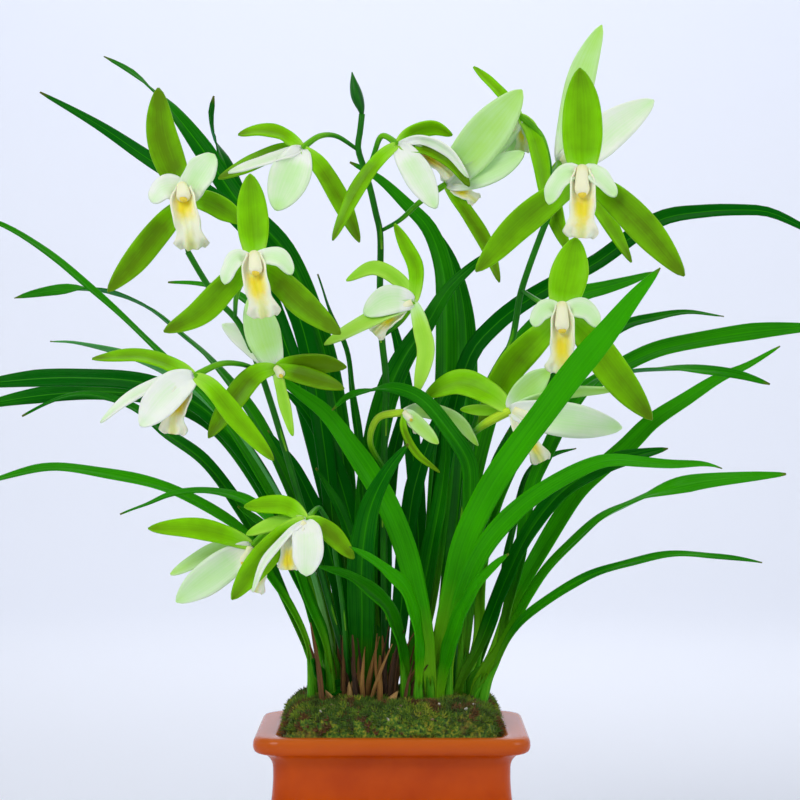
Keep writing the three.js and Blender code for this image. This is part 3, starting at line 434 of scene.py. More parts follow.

# A leaf's foot is where it stands in the moss, tip_depth how far its tip comes forward, and width
# what shows of its width. Its tone goes from about 0, deep, to 1, fresh green, and is partly the
# leaf's own green and partly painted shade: leaves deep in the clump are given darker tones, those in
# front lighter ones. taper is the share of its length that narrows to the point. Its route is drawn
# as it is seen from SIGHT_DISTANCE in front, in the plane of the stems: x, height and, where the leaf
# twists, degrees.
LEAVES = {
    "leaf_left_01": {
        "foot": (-17, 10), "tip_depth": -60, "width": 10.5, "taper": 0.2, "tone": 0.15,
        "route": [(-20, 187), (-27, 257), (-37, 302), (-54, 342), (-76, 365), (-96, 394), (-112, 414, 30),
                  (-121, 423, 66), (-130, 431, 24), (-144, 439, 0)]},
    "leaf_left_02": {
        "foot": (-25, 6), "tip_depth": -35, "width": 9.5, "taper": 0.26, "tone": -0.05,
        "route": [(-28, 187), (-35, 252), (-46, 307), (-61, 336), (-76, 357), (-94, 371), (-118, 385),
                  (-146, 404), (-176, 421)]},
    "leaf_left_03": {
        "foot": (-22, 14), "tip_depth": -78, "width": 10, "taper": 0.12, "tone": -0.1,
        "route": [(-26, 187), (-44, 267), (-63, 322), (-77, 367), (-85, 389, 40), (-89, 398, 80),
                  (-91, 408, 50), (-89, 419, 20)]},
    "leaf_left_04": {
        "foot": (-31, -4), "tip_depth": 18, "width": 2.8, "taper": 0.14, "tone": 0.4,
        "route": [(-43, 182), (-65, 227), (-88, 262), (-110, 285), (-132, 306), (-151, 323), (-167, 337),
                  (-183, 348), (-196, 355), (-213, 361)]},
    "leaf_left_05": {
        "foot": (-28, 12), "tip_depth": -22, "width": 6.5, "taper": 0.16, "tone": 0.3,
        "route": [(-32, 167), (-46, 212), (-68, 257), (-90, 286, 25), (-106, 300, 40), (-122, 313, 50),
                  (-139, 320, 62), (-152, 322, 50), (-165, 322, -8), (-180, 320, -22), (-189, 318, -22)]},
    "leaf_left_06": {
        "foot": (-27, 3), "tip_depth": -12, "width": 4.7, "tone": 0.6, "underside": True,
        "route": [(-34, 157), (-48, 199), (-71, 239), (-93, 267), (-111, 279), (-132, 289), (-158, 295),
                  (-171, 296)]},
    "leaf_left_07": {
        "foot": (-33, 9), "tip_depth": -48, "width": 9, "taper": 0.14, "tone": 0.05,
        "route": [(-48, 192), (-71, 237), (-96, 264), (-118, 274), (-133, 277), (-152, 278), (-170, 278),
                  (-196, 276), (-216, 273)]},
    "leaf_left_08": {
        "foot": (-30, 17), "tip_depth": -70, "width": 9, "taper": 0.14, "tone": 0.1,
        "route": [(-38, 167), (-61, 217), (-88, 254), (-116, 268), (-141, 271), (-168, 270), (-196, 266),
                  (-212, 261)]},
    "leaf_left_09": {
        "foot": (-36, -7), "tip_depth": 4, "width": 4.8, "tone": 0.15,
        "route": [(-53, 167), (-73, 208), (-94, 236), (-114, 251), (-126, 261), (-139, 267), (-154, 270),
                  (-166, 268), (-185, 259)]},
    "leaf_left_10": {
        "foot": (-39, -13), "tip_depth": 14, "width": 3.8, "taper": 0.14, "tone": 0.6,
        "route": [(-42, 145), (-50, 163), (-62, 181), (-72, 198), (-87, 210), (-110, 222), (-142, 230),
                  (-170, 233), (-196, 228), (-211, 223)]},
    "leaf_left_11": {
        "foot": (-30, -17), "tip_depth": 40, "width": 3.8, "tone": 0.5,
        "route": [(-33, 145), (-43, 170), (-52, 195), (-70, 215), (-87, 221), (-110, 220), (-123, 215),
                  (-136, 210)]},
    "leaf_middle_01": {
        "foot": (19, -20), "tip_depth": 31.5, "width": 10.5, "tone": 0.7,
        "route": [(17, 147), (12, 172), (5, 197), (-3, 216), (-10, 228), (-20, 243), (-34, 261), (-47, 271),
                  (-64, 284)]},
    "leaf_middle_02": {
        "foot": (-15, -11), "tip_depth": 50, "width": 13, "taper": 0.42, "tone": 0.1,
        "route": [(-15, 157), (-15, 187), (-11, 212), (-3, 230), (8, 245)]},
    "leaf_middle_03": {
        "foot": (34, -8), "tip_depth": 42, "width": 8.5, "tone": 0.3,
        "route": [(37, 157), (39, 192), (39, 220), (38, 236), (28, 252), (14, 268), (1, 273), (-9, 272, 60),
                  (-22, 269), (-30, 262)]},
    "leaf_middle_04": {
        "foot": (0, -11), "tip_depth": -14, "width": 9, "tone": -0.1,
        "route": [(4, 157), (7, 192), (11, 222), (20, 250), (31, 276)]},
    "leaf_middle_05": {
        "foot": (13, -25), "tip_depth": 66, "width": 5, "tone": 0.7,
        "route": [(13, 147), (7, 171), (-1, 180), (-10, 187), (-21, 194)]},
    "leaf_middle_06": {
        "foot": (7, -20), "tip_depth": 62, "width": 5, "tone": 0.45,
        "route": [(6, 138), (2, 153), (-2, 163), (-10, 171), (-20, 178), (-39, 185)]},
    "leaf_middle_07": {
        "foot": (-14, 0), "tip_depth": -3, "width": 3.2, "tone": 0.1,
        "route": [(-13, 167), (-15, 227), (-20, 272), (-23, 292), (-31, 312), (-37, 330)]},
    "leaf_middle_08": {
        "foot": (10, 10), "tip_depth": -44, "width": 12, "tone": 0.3,
        "route": [(18, 167), (24, 227), (27, 277), (27, 312), (25, 334), (18, 353), (7, 365), (-7, 378),
                  (-21, 386)]},
    "leaf_middle_09": {
        "foot": (21, 9), "tip_depth": -62, "width": 12, "tone": 0.1,
        "route": [(28, 167), (34, 227), (37, 277), (36, 312), (30, 336), (19, 356)]},
    "leaf_middle_10": {
        "foot": (-7, 8), "tip_depth": -8, "width": 12, "tone": 0.15,
        "route": [(-12, 177), (-11, 227), (-3, 267), (6, 288), (17, 304), (28, 322), (39, 333), (52, 343)]},
    "leaf_middle_11": {
        "foot": (-9, 17), "tip_depth": -90, "width": 6, "tone": 0.5,
        "route": [(-24, 207), (-39, 267), (-59, 302), (-79, 321), (-96, 325), (-112, 326)]},
    "leaf_right_01": {
        "foot": (13, 2), "tip_depth": -40, "width": 8.5, "taper": 0.22, "tone": -0.1,
        "route": [(17, 162), (22, 207), (29, 252), (40, 291), (50, 303), (62, 313), (80, 324), (101, 335),
                  (134, 357), (155, 361), (174, 362), (188, 361), (204, 354), (218, 346)]},
    "leaf_right_02": {
        "foot": (20.5, -9.5), "tip_depth": 84, "width": 12, "taper": 0.2, "tone": 0.8,
        "route": [(22, 137), (26, 154), (31, 175), (37, 197), (49, 222), (61, 240), (75, 259), (94, 284),
                  (107, 300), (121, 318), (134, 333)]},
    "leaf_right_03": {
        "foot": (37, 8), "tip_depth": -46, "width": 8, "taper": 0.14, "tone": 0.5,
        "route": [(43, 147), (44, 177), (47, 199), (54, 222), (67, 247), (84, 264), (104, 277), (119, 286),
                  (133, 292), (155, 297), (180, 301), (204, 303), (221, 304)]},
    "leaf_right_04": {
        "foot": (33, 18), "tip_depth": -84, "width": 6, "tone": 0.15,
        "route": [(37, 167), (47, 217), (62, 252), (82, 277), (101, 294), (118, 305), (130, 308), (148, 311),
                  (166, 309)]},
    "leaf_right_05": {
        "foot": (40, 0), "tip_depth": 0, "width": 8, "tone": 0.7,
        "route": [(49, 137), (61, 167), (69, 182), (84, 207), (94, 222), (104, 232), (118, 244), (130, 256),
                  (148, 268), (164, 278), (177, 284), (194, 294)]},
    "leaf_right_06": {
        "foot": (36, -6), "tip_depth": 28, "width": 5.3, "taper": 0.2, "tone": 0.35,
        "route": [(51, 137), (58, 164), (64, 187), (70, 222), (76, 237), (89, 261), (106, 278, -30),
                  (120, 281, -40), (134, 282, -30), (154, 282, 10), (172, 280, 34), (189, 275, 34)]},
    "leaf_right_07": {
        "foot": (42, -12), "tip_depth": 50, "width": 10, "taper": 0.3, "tone": 0.7,
        "route": [(54, 142, -45), (69, 169, -58), (84, 189, -60), (104, 207, -64), (117, 214, -66),
                  (128, 219, -60), (137, 222, -35), (149, 225), (162, 227), (183, 229), (197, 230)]},
    "leaf_right_08": {
        "foot": (43, -19), "tip_depth": 66, "width": 3.2, "tone": 0.3,
        "route": [(48, 127), (58, 148), (64, 156), (74, 164), (87, 173), (104, 181), (129, 188), (145, 190),
                  (162, 189), (185, 186)]},
    "leaf_right_09": {
        "foot": (27.5, -19), "tip_depth": 80, "width": 9, "taper": 0.5, "tone": 0.65,
        "route": [(28, 137), (34.5, 167), (46, 193), (64, 213), (84, 227), (104, 236), (113, 237), (126, 236),
                  (140, 235), (157, 235), (165, 233)]},
    "leaf_right_10": {
        "foot": (29, 20), "tip_depth": -100, "width": 12.5, "taper": 0.26, "tone": 0.4,
        "route": [(31, 177), (41, 237), (54, 277), (69, 299), (84, 312), (95, 320), (106, 323), (120, 327),
                  (131, 331)]},
    "leaf_right_11": {
        "foot": (42, 13), "tip_depth": -30, "width": 3.4, "tone": 0.1,
        "route": [(54, 167), (59, 194), (64, 217), (69, 232), (79, 239), (92, 243)]},
}


def sighted(x, height, depth):
    """The place the camera sees at x and height in the plane of the stems, depth in front of it."""
    shrink = (SIGHT_DISTANCE - depth) / SIGHT_DISTANCE
    return Vector((SIGHT_X + (x - SIGHT_X) * shrink, -depth, SIGHT_Z + (height - SIGHT_Z) * shrink)) * MM


def rising_points(foot, tip_depth, route):
    """The places from the moss up to the tip of a leaf or stem, with the extra twist at each."""
    foot_x, foot_y = foot
    points = [Vector((foot_x, foot_y, height)) * MM for height in (ROOTED, UPRIGHT_TOP)]
    twists = [0, 0]
    spans = [math.dist(one[:2], two[:2]) for one, two in zip([(foot_x, UPRIGHT_TOP), *route], route)]
    run = 0
    for (x, height, *twist), span in zip(route, spans):
        run += span
        depth = -foot_y + (tip_depth * DEPTH_SPREAD + foot_y) * run / sum(spans)
        points.append(sighted(x, height, depth))
        twists.append(twist[0] if twist else 0)
    return points, twists


def smoothstep(low, high, value):
    """0 below low, 1 above high, and an even curve between them."""
    share = min(1, max(0, (value - low) / (high - low)))
    return share * share * (3 - 2 * share)


def bend_sheet(shape, points, strips, steps, section, turn_at=None, tone=0.0):
    """Adds a flat grid bent along a smooth route. section gives the sideways offset and the rise
    towards the front of a place across, from -1 to 1, and along; turn_at its turn in degrees."""
    shape.loops.layers.uv.verify()
    tones = shape.verts.layers.float.get("tone") or shape.verts.layers.float.new("tone")
    grid = bmesh.ops.create_grid(shape, x_segments=strips, y_segments=steps, size=0.5, calc_uvs=True)["verts"]
    places = smooth_route(points, steps)
    frames = []
    for step, (place, point_share) in enumerate(places):
        along = (places[min(step + 1, steps)][0] - places[max(step - 1, 0)][0]).normalized()
        facing = Vector((0, -1, 0))
        facing = (facing - along * facing.dot(along)).normalized()
        if turn_at:
            facing = Matrix.Rotation(math.radians(turn_at(step / steps, point_share)), 3, along) @ facing
        frames.append((place, along.cross(facing), facing))
    for corner in grid:
        step = round((corner.co.y + 0.5) * steps)
        place, across, facing = frames[step]
        offset, rise = section(corner.co.x * 2, step / steps)
        corner.co = place + across * offset + facing * rise
        corner[tones] = tone
    return grid


def strap_outline(share, taper):
    """How wide a strap leaf is of its full width: narrow at the foot, even, drawn out to a point."""
    return (0.5 + 0.5 * smoothstep(0, 0.4, share)) * max(0.03, min(1, (1 - share) / taper) ** 0.6)


def thicken(made, name, thickness):
    """Gives a sheet its thickness, behind the side it shows."""
    skin = made.modifiers.new(name, "SOLIDIFY")
    skin.thickness = thickness * MM
    skin.offset = -1
    return skin


def sheet_material(name):
    """A sheet's material and node tree, and what patterns follow on it: its place, strip and tone."""
    made, tree = new_material(name)
    where = add_node(tree, "ShaderNodeTexCoord").outputs["Object"]
    strip = add_node(tree, "ShaderNodeSeparateXYZ", {"Vector": add_node(tree, "ShaderNodeUVMap")})
    tone = add_node(tree, "ShaderNodeAttribute", attribute_name="tone").outputs["Fac"]
    return made, tree, where, strip, tone


def lengthwise_streaks(tree, strip, tone, count, changes, detail):
    """Fine streaks along a leaf, stem or petal: count side by side, each changing so many times."""
    across = add_node(tree, "ShaderNodeMath", {0: strip.outputs["X"], 1: count}, operation="MULTIPLY")
    along = add_node(tree, "ShaderNodeMath", {0: strip.outputs["Y"], 1: changes}, operation="MULTIPLY")
    place = add_node(tree, "ShaderNodeCombineXYZ", {"X": across, "Y": along, "Z": tone})
    return add_node(tree, "ShaderNodeTexNoise", {"Vector": place, "Scale": 1.0, "Detail": detail})


def distance_from_midrib(tree, strip):
    """How far a place on a leaf or petal is from its middle line, 0 to 0.5 of its width."""
    beside = add_node(tree, "ShaderNodeMath", {0: strip.outputs["X"], 1: 0.5}, operation="SUBTRACT")
    return add_node(tree, "ShaderNodeMath", {0: beside}, operation="ABSOLUTE")


def strap_surface(name, deep, fresh, foot_colour, rough):
    """Leaf skin: lengthwise veins as fine streaks, a lighter middle line that is partly the leaf's own
    paler rib and partly a painted highlight along the fold, a paler foot and a dry point.
    """
    made, tree, where, strip, tone = sheet_material(name)
    along = strip.outputs["Y"]
    mottle_scale = 1 / (LEAF_MOTTLE * MM)
    mottle = add_node(tree, "ShaderNodeTexNoise", {"Vector": where, "Scale": mottle_scale, "Detail": 3.0})
    streaks = lengthwise_streaks(tree, strip, tone, LEAF_VEINS, 2.5, 2.0)
    toned = tone
    for pattern, strength in ((mottle, 0.7), (streaks, 0.9)):
        change = add_node(tree, "ShaderNodeMath", {0: pattern, 1: strength, 2: -strength / 2},
                          operation="MULTIPLY_ADD")
        toned = add_node(tree, "ShaderNodeMath", {0: toned, 1: change}, operation="ADD")
    # The tone mixes deep and fresh green. For the leaves it is partly painted shade, darker deep in the
    # clump.
    skin = add_node(tree, "ShaderNodeMix", {"Factor": toned, "A": linear(deep), "B": linear(fresh)},
                    data_type="RGBA", clamp_factor=True)
    from_midrib = distance_from_midrib(tree, strip)
    # A lighter line along the middle: partly the leaf's own paler rib, partly a painted highlight along the
    # fold.
    midrib_and_fold_highlight = add_node(tree, "ShaderNodeMapRange", {"Value": from_midrib, "From Min": 0.012, "From Max": 0.04,
                                                   "To Min": 0.5, "To Max": 0.0})
    foot_strength = add_node(tree, "ShaderNodeMath", {0: tone, 1: 0.75, 2: 0.25}, operation="MULTIPLY_ADD")
    foot = add_node(tree, "ShaderNodeMapRange", {"Value": along, "From Min": 0.04, "From Max": 0.28,
                                                 "To Min": foot_strength, "To Max": 0.0})
    dry_point = add_node(tree, "ShaderNodeMapRange", {"Value": along, "From Min": 0.985, "From Max": 1.0,
                                                      "To Max": 0.7})
    for share, colour in ((midrib_and_fold_highlight, fresh), (foot, foot_colour), (dry_point, LEAF_POINT)):
        skin = add_node(tree, "ShaderNodeMix", {"Factor": share, "A": skin, "B": linear(colour)},
                        data_type="RGBA")
    bump = add_node(tree, "ShaderNodeBump", {"Height": streaks, "Strength": 0.35, "Distance": 0.25 * MM})
    finish_surface(tree, skin, bump, {"Roughness": rough, "Specular IOR Level": 0.05,
                                      "Subsurface Weight": 0.12, "Subsurface Radius": (0.5, 1.0, 0.2),
                                      "Subsurface Scale": 1.2 * MM})
    return made


# Leaf skins. The upper one is a waxy deep to fresh green with a soft gloss along the fold. The
# underside is matt, greyer and bluer, because the breathing pores are there.
VEIN_GAP = 0.4
LEAF_VEINS = round(STRAP_WIDTH / VEIN_GAP)
LEAF_MOTTLE = 38
LEAF_POINT = "#7a6a2c"
leaf_upper = strap_surface("strap_leaf_upper", "#005e04", "#3cae00", "#90cc20", 0.38)
leaf_under = strap_surface("strap_leaf_underside", "#14703a", "#66b85c", "#9cc860", 0.6)


def add_leaf(name, leaf, replaced=()):
    """One strap leaf. A leaf seen narrower than the real strap is turned until it shows that width."""
    points, twists = rising_points(leaf["foot"], leaf["tip_depth"], leaf["route"])
    width = leaf["width"]
    full_width = max(STRAP_WIDTH, width * STRAP_SPARE)
    full_turn = min(FULLEST_TURN, math.degrees(math.acos(width / full_width)))
    side = 1 if leaf["route"][-1][0] < leaf["foot"][0] else -1
    fold = LEAF_FOLD
    surfaces = [leaf_upper, leaf_under]
    if leaf.get("underside"):
        side = -side
        fold = -fold
        surfaces = [leaf_under, leaf_upper]
    seed = sum(map(ord, name))
    taper = leaf.get("taper", LEAF_TAPER)

    def turn(share):
        return full_turn * smoothstep(0.0, 0.4, share)

    def turn_at(share, point_share):
        spot = point_share * (len(twists) - 1)
        before = min(int(spot), len(twists) - 2)
        twist = twists[before] + (twists[before + 1] - twists[before]) * (spot - before)
        sway = LEAF_SWAY * math.sin(share * 9 + seed)
        return side * (turn(share) + sway * smoothstep(0.1, 0.5, share)) + twist

    def section(across, share):
        half = width / 2 * strap_outline(share, taper) / math.cos(math.radians(turn(share)))
        steep = fold + math.copysign(0.35, fold) * smoothstep(0.25, 0.0, share)
        crease = abs(across) * half * steep - fold * half * 0.35 * across * across
        wave = LEAF_WAVE * math.sin(share * 31 + seed + across) * across * smoothstep(0.1, 0.4, share)
        return across * half * MM, (crease + wave) * MM

    shape = bmesh.new()
    bend_sheet(shape, points, LEAF_STRIPS, LEAF_STEPS, section, turn_at, leaf["tone"])
    slot = "leaf_bright" if leaf["tone"] > BRIGHT_FROM else "leaf_dark"
    made = finish_piece(name, shape, surfaces, slot, replaced)
    skin = thicken(made, "leaf_thickness", LEAF_THICKNESS)
    skin.material_offset = 1
    skin.material_offset_rim = 0


for leaf_name, leaf in LEAVES.items():
    add_leaf(leaf_name + "_strap", leaf, [leaf_name])

# Younger leaves between the long ones. They fill the clump and show only parts of their length.
# Their tones are partly painted shade, darker for those deep in the clump.
YOUNG_LEAVES = [
    {"foot": (-24, -12), "tip_depth": 22, "width": 5, "tone": 0.05,
     "route": [(-31, 122), (-36, 129), (-40, 138)]},
    {"foot": (-5, 1), "tip_depth": -24, "width": 8, "tone": -0.1,
     "route": [(-4, 160), (-3, 200), (0, 235), (7, 262), (15, 280)]},
    {"foot": (-10, 6), "tip_depth": -20, "width": 9, "tone": -0.15,
     "route": [(-13, 165), (-20, 205), (-31, 240), (-44, 262), (-56, 274)]},
    {"foot": (-19, 2), "tip_depth": -12, "width": 8, "tone": -0.05,
     "route": [(-24, 160), (-34, 200), (-48, 232), (-62, 252)]},
    {"foot": (-11, -6), "tip_depth": 10, "width": 7, "tone": 0.05,
     "route": [(-12, 150), (-17, 185), (-27, 214), (-38, 233)]},
    {"foot": (9, -6), "tip_depth": 6, "width": 8, "tone": 0.15,
     "route": [(13, 155), (19, 190), (25, 222), (27, 245), (25, 262)]},
    {"foot": (14, 16), "tip_depth": -70, "width": 9, "tone": -0.1,
     "route": [(14, 170), (12, 220), (8, 262), (3, 295), (-4, 318)]},
    {"foot": (27, 2), "tip_depth": -22, "width": 8, "tone": 0.0,
     "route": [(35, 160), (43, 200), (51, 232), (58, 252)]},
    {"foot": (33, -13), "tip_depth": 30, "width": 7, "taper": 0.12, "tone": 0.1,
     "route": [(44, 145), (56, 175), (70, 203), (86, 222), (104, 233), (122, 239), (138, 243)]},
    {"foot": (30, 9), "tip_depth": -60, "width": 7, "tone": 0.1,
     "route": [(38, 165), (50, 210), (64, 244), (80, 262)]},
    {"foot": (24, -22), "tip_depth": 52, "width": 6, "tone": 0.55,
     "route": [(28, 140), (36, 163), (47, 180), (58, 190)]},
    {"foot": (-29, -9), "tip_depth": 24, "width": 6, "tone": 0.3,
     "route": [(-36, 150), (-48, 180), (-62, 202), (-77, 214)]},
]
for number, leaf in enumerate(YOUNG_LEAVES):
    add_leaf(f"young_leaf_{number + 1}", leaf)

# Crown. Every shoot is wrapped at its foot: by short green scale leaves while it is young, and by
# brown papery ones once they have dried and split into fibres.
SCALE_STEPS = 16
SCALE_CURL = 1.15
SCALE_THICKNESS = 0.4
SCALE_WIDTH = 6
FIBRE_GAP = 0.2
PAPER_FIBRES = round(SCALE_WIDTH / FIBRE_GAP)

# Dried scale leaf: matt brown paper, streaked lighter and darker where its fibres part. The young
# one has the skin of a leaf, in a fresh yellow-green.
dry_paper, tree, _, strip, tone = sheet_material("dry_scale_leaf")
fibres = lengthwise_streaks(tree, strip, tone, PAPER_FIBRES, 1.6, 4.0)
fibre_tone = add_node(tree, "ShaderNodeMath", {0: fibres, 1: tone}, operation="ADD")
dry_colour = add_node(tree, "ShaderNodeValToRGB", {"Fac": fibre_tone},
                      stops=[(0.25, "#281606"), (0.5, "#603c14"), (0.8, "#a47430"), (1.0, "#d4a664")])
bump = add_node(tree, "ShaderNodeBump", {"Height": fibres, "Strength": 0.8, "Distance": 0.4 * MM})
finish_surface(tree, dry_colour, bump, {"Roughness": 0.8})
young_scale = strap_surface("young_scale_leaf", "#3c9410", "#7cc428", "#a8d448", 0.5)


def add_wrap(name, points, width, tone, surface, slot, turned, ragged=0.0, replaced=()):
    """A scale leaf rolled part of the way round a shoot, pointed or torn at its end."""
    seed = sum(map(ord, name))

    def section(across, share):
        half = width / 2 * (0.85 + 0.15 * math.sin(share * 3)) * max(0.04, min(1, (1 - share) / 0.6) ** 0.75)
        tear = ragged * math.sin(across * 9 + seed) * smoothstep(0.5, 1, share)
        curl = across * SCALE_CURL
        return half * math.sin(curl) * MM, half * (math.cos(curl) - 0.5 + tear) * MM

    shape = bmesh.new()
    bend_sheet(shape, points, LEAF_STRIPS, SCALE_STEPS, section, lambda share, point_share: turned, tone)
    made = finish_piece(name, shape, [surface], slot, replaced)
    thicken(made, "scale_thickness", SCALE_THICKNESS)


# Each big dry sheath has split lengthwise into ragged strips that lean apart.
SHEATH_WIDTH = 7
SHEATH_STRIPS = 4
SHEATHS = {
    "sheath_1": {"foot": (-13, -21), "tip_depth": 30, "route": [(-13, 132), (-11, 145), (-9, 156)]},
    "sheath_2": {"foot": (-2, -21), "tip_depth": 24, "route": [(-2, 132), (0, 145), (3, 154)]},
}
random.seed(12)
for sheath_name, sheath in SHEATHS.items():
    points, _ = rising_points(sheath["foot"], sheath["tip_depth"], sheath["route"])
    for strip_number in range(SHEATH_STRIPS):
        apart = strip_number - (SHEATH_STRIPS - 1) / 2
        spread = Vector((apart * 1.4, random.uniform(-1.2, 1.2), 0)) * MM
        length = random.uniform(0.6, 1.0)
        way = [points[0].lerp(point, length) + spread * (0.7 + share) for share, point in enumerate(points)]
        add_wrap(f"{sheath_name}_strip_{strip_number + 1}", way, SHEATH_WIDTH * random.uniform(0.35, 0.55),
                 random.uniform(-0.2, 0.4), dry_paper, "dry_sheath", apart * 22, 0.4, [sheath_name])

# Older sheaths fan out round the left crown, some stripped to fibres; the oldest are pale stubs.
OLD_SHEATHS = 26
for number in range(OLD_SHEATHS):
    stub = number % 5 == 0
    foot = Vector((random.uniform(-34, 8), random.uniform(-27, -12), ROOTED + 3)) * MM
    lean = (foot.x / MM + 13) * 0.35 + random.uniform(-5, 5)
    rise = random.uniform(9, 16) if stub else random.uniform(18, 44)
    way = [foot, foot + Vector((lean * 0.35, -1, rise * 0.5)) * MM, foot + Vector((lean, -2.5, rise)) * MM]
    width = random.uniform(4, 7) if stub else random.uniform(1.6, 4.6)
    fade = random.uniform(0.5, 0.7) if stub else random.uniform(-0.3, 0.35)
    turned = random.uniform(-50, 50)
    add_wrap(f"old_sheath_{number + 1}", way, width, fade, dry_paper, "dry_sheath", turned, 0.5)

# Two scale leaves wrap the foot of every long leaf, one turned to each side. On the dry left side
# of the crown most of them have withered to paper.
SCALE_TURNS = (-38, 34)
SCALE_STANDOFF = 0.9
random.seed(21)
for leaf_name, leaf in LEAVES.items():
    points, _ = rising_points(leaf["foot"], leaf["tip_depth"], leaf["route"])
    rise = [place for place, _ in smooth_route(points, 40)]
    for wrap, turned in enumerate(SCALE_TURNS):
        top = max(4, min(30, int(random.uniform(16, 36) / ((rise[-1] - rise[0]).length / MM) * 40)))
        away = Matrix.Rotation(math.radians(turned), 3, "Z") @ Vector((0, -SCALE_STANDOFF * MM, 0))
        way = [place + away * (1 + 1.5 * step / top) for step, place in enumerate(rise[:top + 1])]
        way = [way[0], way[len(way) // 2], way[-1]]
        dry = -30 < leaf["foot"][0] < 12 and random.random() < 0.75
        surface, slot, ragged = (dry_paper, "dry_sheath", 0.35) if dry else (young_scale, "leaf_bright", 0)
        width = random.uniform(5, 6.5)
        fade = random.uniform(0.0, 0.35)
        add_wrap(f"{leaf_name}_scale_{wrap + 1}", way, width, fade, surface, slot, turned, ragged)

# Flower stems. Round, fleshy and upright, a little thinner towards the top, with a thin bract
# clasping each joint. The middle one ends in the bud, the others in the last flower's stalk.
STEM_SIDES = 14
STEM_STEPS = 90
STEM_PLACES = 400
STEM_TONE = 0.18
STEM_PATCH = 12
STEM_GIRTH = 11
STREAK_GAP = 0.7
STEM_STREAKS = round(STEM_GIRTH / STREAK_GAP)
BRACT_GAP = 46
BRACT_LENGTH = 20
BRACT_WIDTH = 2.9
BRACT_TURN = 70
BRACT_TONE = 0.3
STEMS = {
    "scape_left": {"foot": (-21, -5), "tip_depth": 44, "radius": 1.7,
                   "route": [(-33, 172), (-49, 227), (-61, 267), (-68, 287), (-77, 306), (-87, 317),
                             (-95, 329), (-102, 341)]},
    "scape_middle": {"foot": (-3, -4), "tip_depth": 8, "radius": 1.8,
                     "route": [(-4, 187), (-4, 237), (-3, 277), (-5, 297), (-6, 321), (-6, 351), (-8, 360),
                               (-11, 373), (-14, 383), (-17, 393), (-16, 401), (-15, 410)]},
    "scape_right": {"foot": (31, 1), "tip_depth": 16, "radius": 1.8,
                    "route": [(32, 167), (35, 207), (41, 252), (51, 277), (60, 297), (62, 307), (64, 319),
                              (68, 332), (75, 351), (78, 359), (80, 377)]},
    "scape_low": {"foot": (-22, -15), "tip_depth": 44, "radius": 1.3,
                  "route": [(-24, 157), (-28, 187), (-31, 204), (-36, 213)]},
}


def roll_stem(shape, points, radius_at, steps, sides=STEM_SIDES, ribs=0.0, tone=0.0):
    """Adds a closed round stem: a sheet rolled edge to edge round its route and closed at both ends."""
    def section(across, share):
        turn = math.pi * across
        radius = radius_at(share) * (1 + ribs * math.cos(3 * turn))
        return radius * math.sin(turn) * MM, radius * math.cos(turn) * MM

    grid = bend_sheet(shape, points, sides, steps, section, tone=tone)
    faces = {face for corner in grid for face in corner.link_faces}
    bmesh.ops.remove_doubles(shape, verts=grid, dist=0.0005 * MM)
    faces = [face for face in faces if face.is_valid]
    rim = [edge for edge in {edge for face in faces for edge in face.edges} if edge.is_boundary]
    bmesh.ops.holes_fill(shape, edges=rim, sides=0)


# Stem skin: smooth green with faint long streaks, darker in patches, slightly waxy. The stalks,
# which have more tone than the stems, grow yellower towards their flower.
stem_skin, tree, where, strip, tone = sheet_material("fleshy_stem_skin")
patches = add_node(tree, "ShaderNodeTexNoise", {"Vector": where, "Scale": 1 / (STEM_PATCH * MM),
                                                "Detail": 3.0})
streaks = lengthwise_streaks(tree, strip, tone, STEM_STREAKS, 1.0, 2.0)
varied = add_node(tree, "ShaderNodeMath", {0: patches, 1: streaks}, operation="ADD")
varied = add_node(tree, "ShaderNodeMath", {0: varied, 1: 0.35, 2: -0.35}, operation="MULTIPLY_ADD")
ripened = add_node(tree, "ShaderNodeMapRange", {"Value": strip.outputs["Y"], "From Max": 0.7, "To Min": 0.25})
ripe_tone = add_node(tree, "ShaderNodeMath", {0: tone, 1: ripened}, operation="MULTIPLY")
toned = add_node(tree, "ShaderNodeMath", {0: varied, 1: ripe_tone}, operation="ADD")
stem_colour = add_node(tree, "ShaderNodeValToRGB", {"Fac": toned},
                       stops=[(0.0, "#0a540e"), (0.3, "#2a8608"), (0.6, "#7cc80c"), (1.0, "#dcf83c")])
bump = add_node(tree, "ShaderNodeBump", {"Height": streaks, "Strength": 0.3, "Distance": 0.2 * MM})
finish_surface(tree, stem_colour, bump, {"Roughness": 0.38, "Specular IOR Level": 0.15,
                                         "Subsurface Weight": 0.15, "Subsurface Radius": (0.5, 1.0, 0.2),
                                         "Subsurface Scale": 1.5 * MM})

stem_places = {}
for stem_name, stem in STEMS.items():
    points, _ = rising_points(stem["foot"], stem["tip_depth"], stem["route"])
    radius = stem["radius"]
    on_stem = [spot for spot, _ in smooth_route(points, STEM_PLACES)]
    stem_places[stem_name] = on_stem
    length = sum((two - one).length for one, two in zip(on_stem, on_stem[1:])) / MM
    stem_shape = bmesh.new()
    roll_stem(stem_shape, points, lambda share: radius * (1.08 - 0.22 * share), STEM_STEPS, tone=STEM_TONE)
    finish_piece(stem_name + "_stem", stem_shape, [stem_skin], "flower_stem", [stem_name])
    for number in range(1, int(length / BRACT_GAP)):
        start = int(STEM_PLACES * number * BRACT_GAP / length)
        reach = int(STEM_PLACES * BRACT_LENGTH / length)
        way = [on_stem[min(STEM_PLACES, start + reach * part // 2)] for part in range(3)]
        turned = BRACT_TURN * (-1) ** number
        add_wrap(f"{stem_name}_bract_{number}", way, radius * BRACT_WIDTH, BRACT_TONE, young_scale,
                 "leaf_bright", turned)

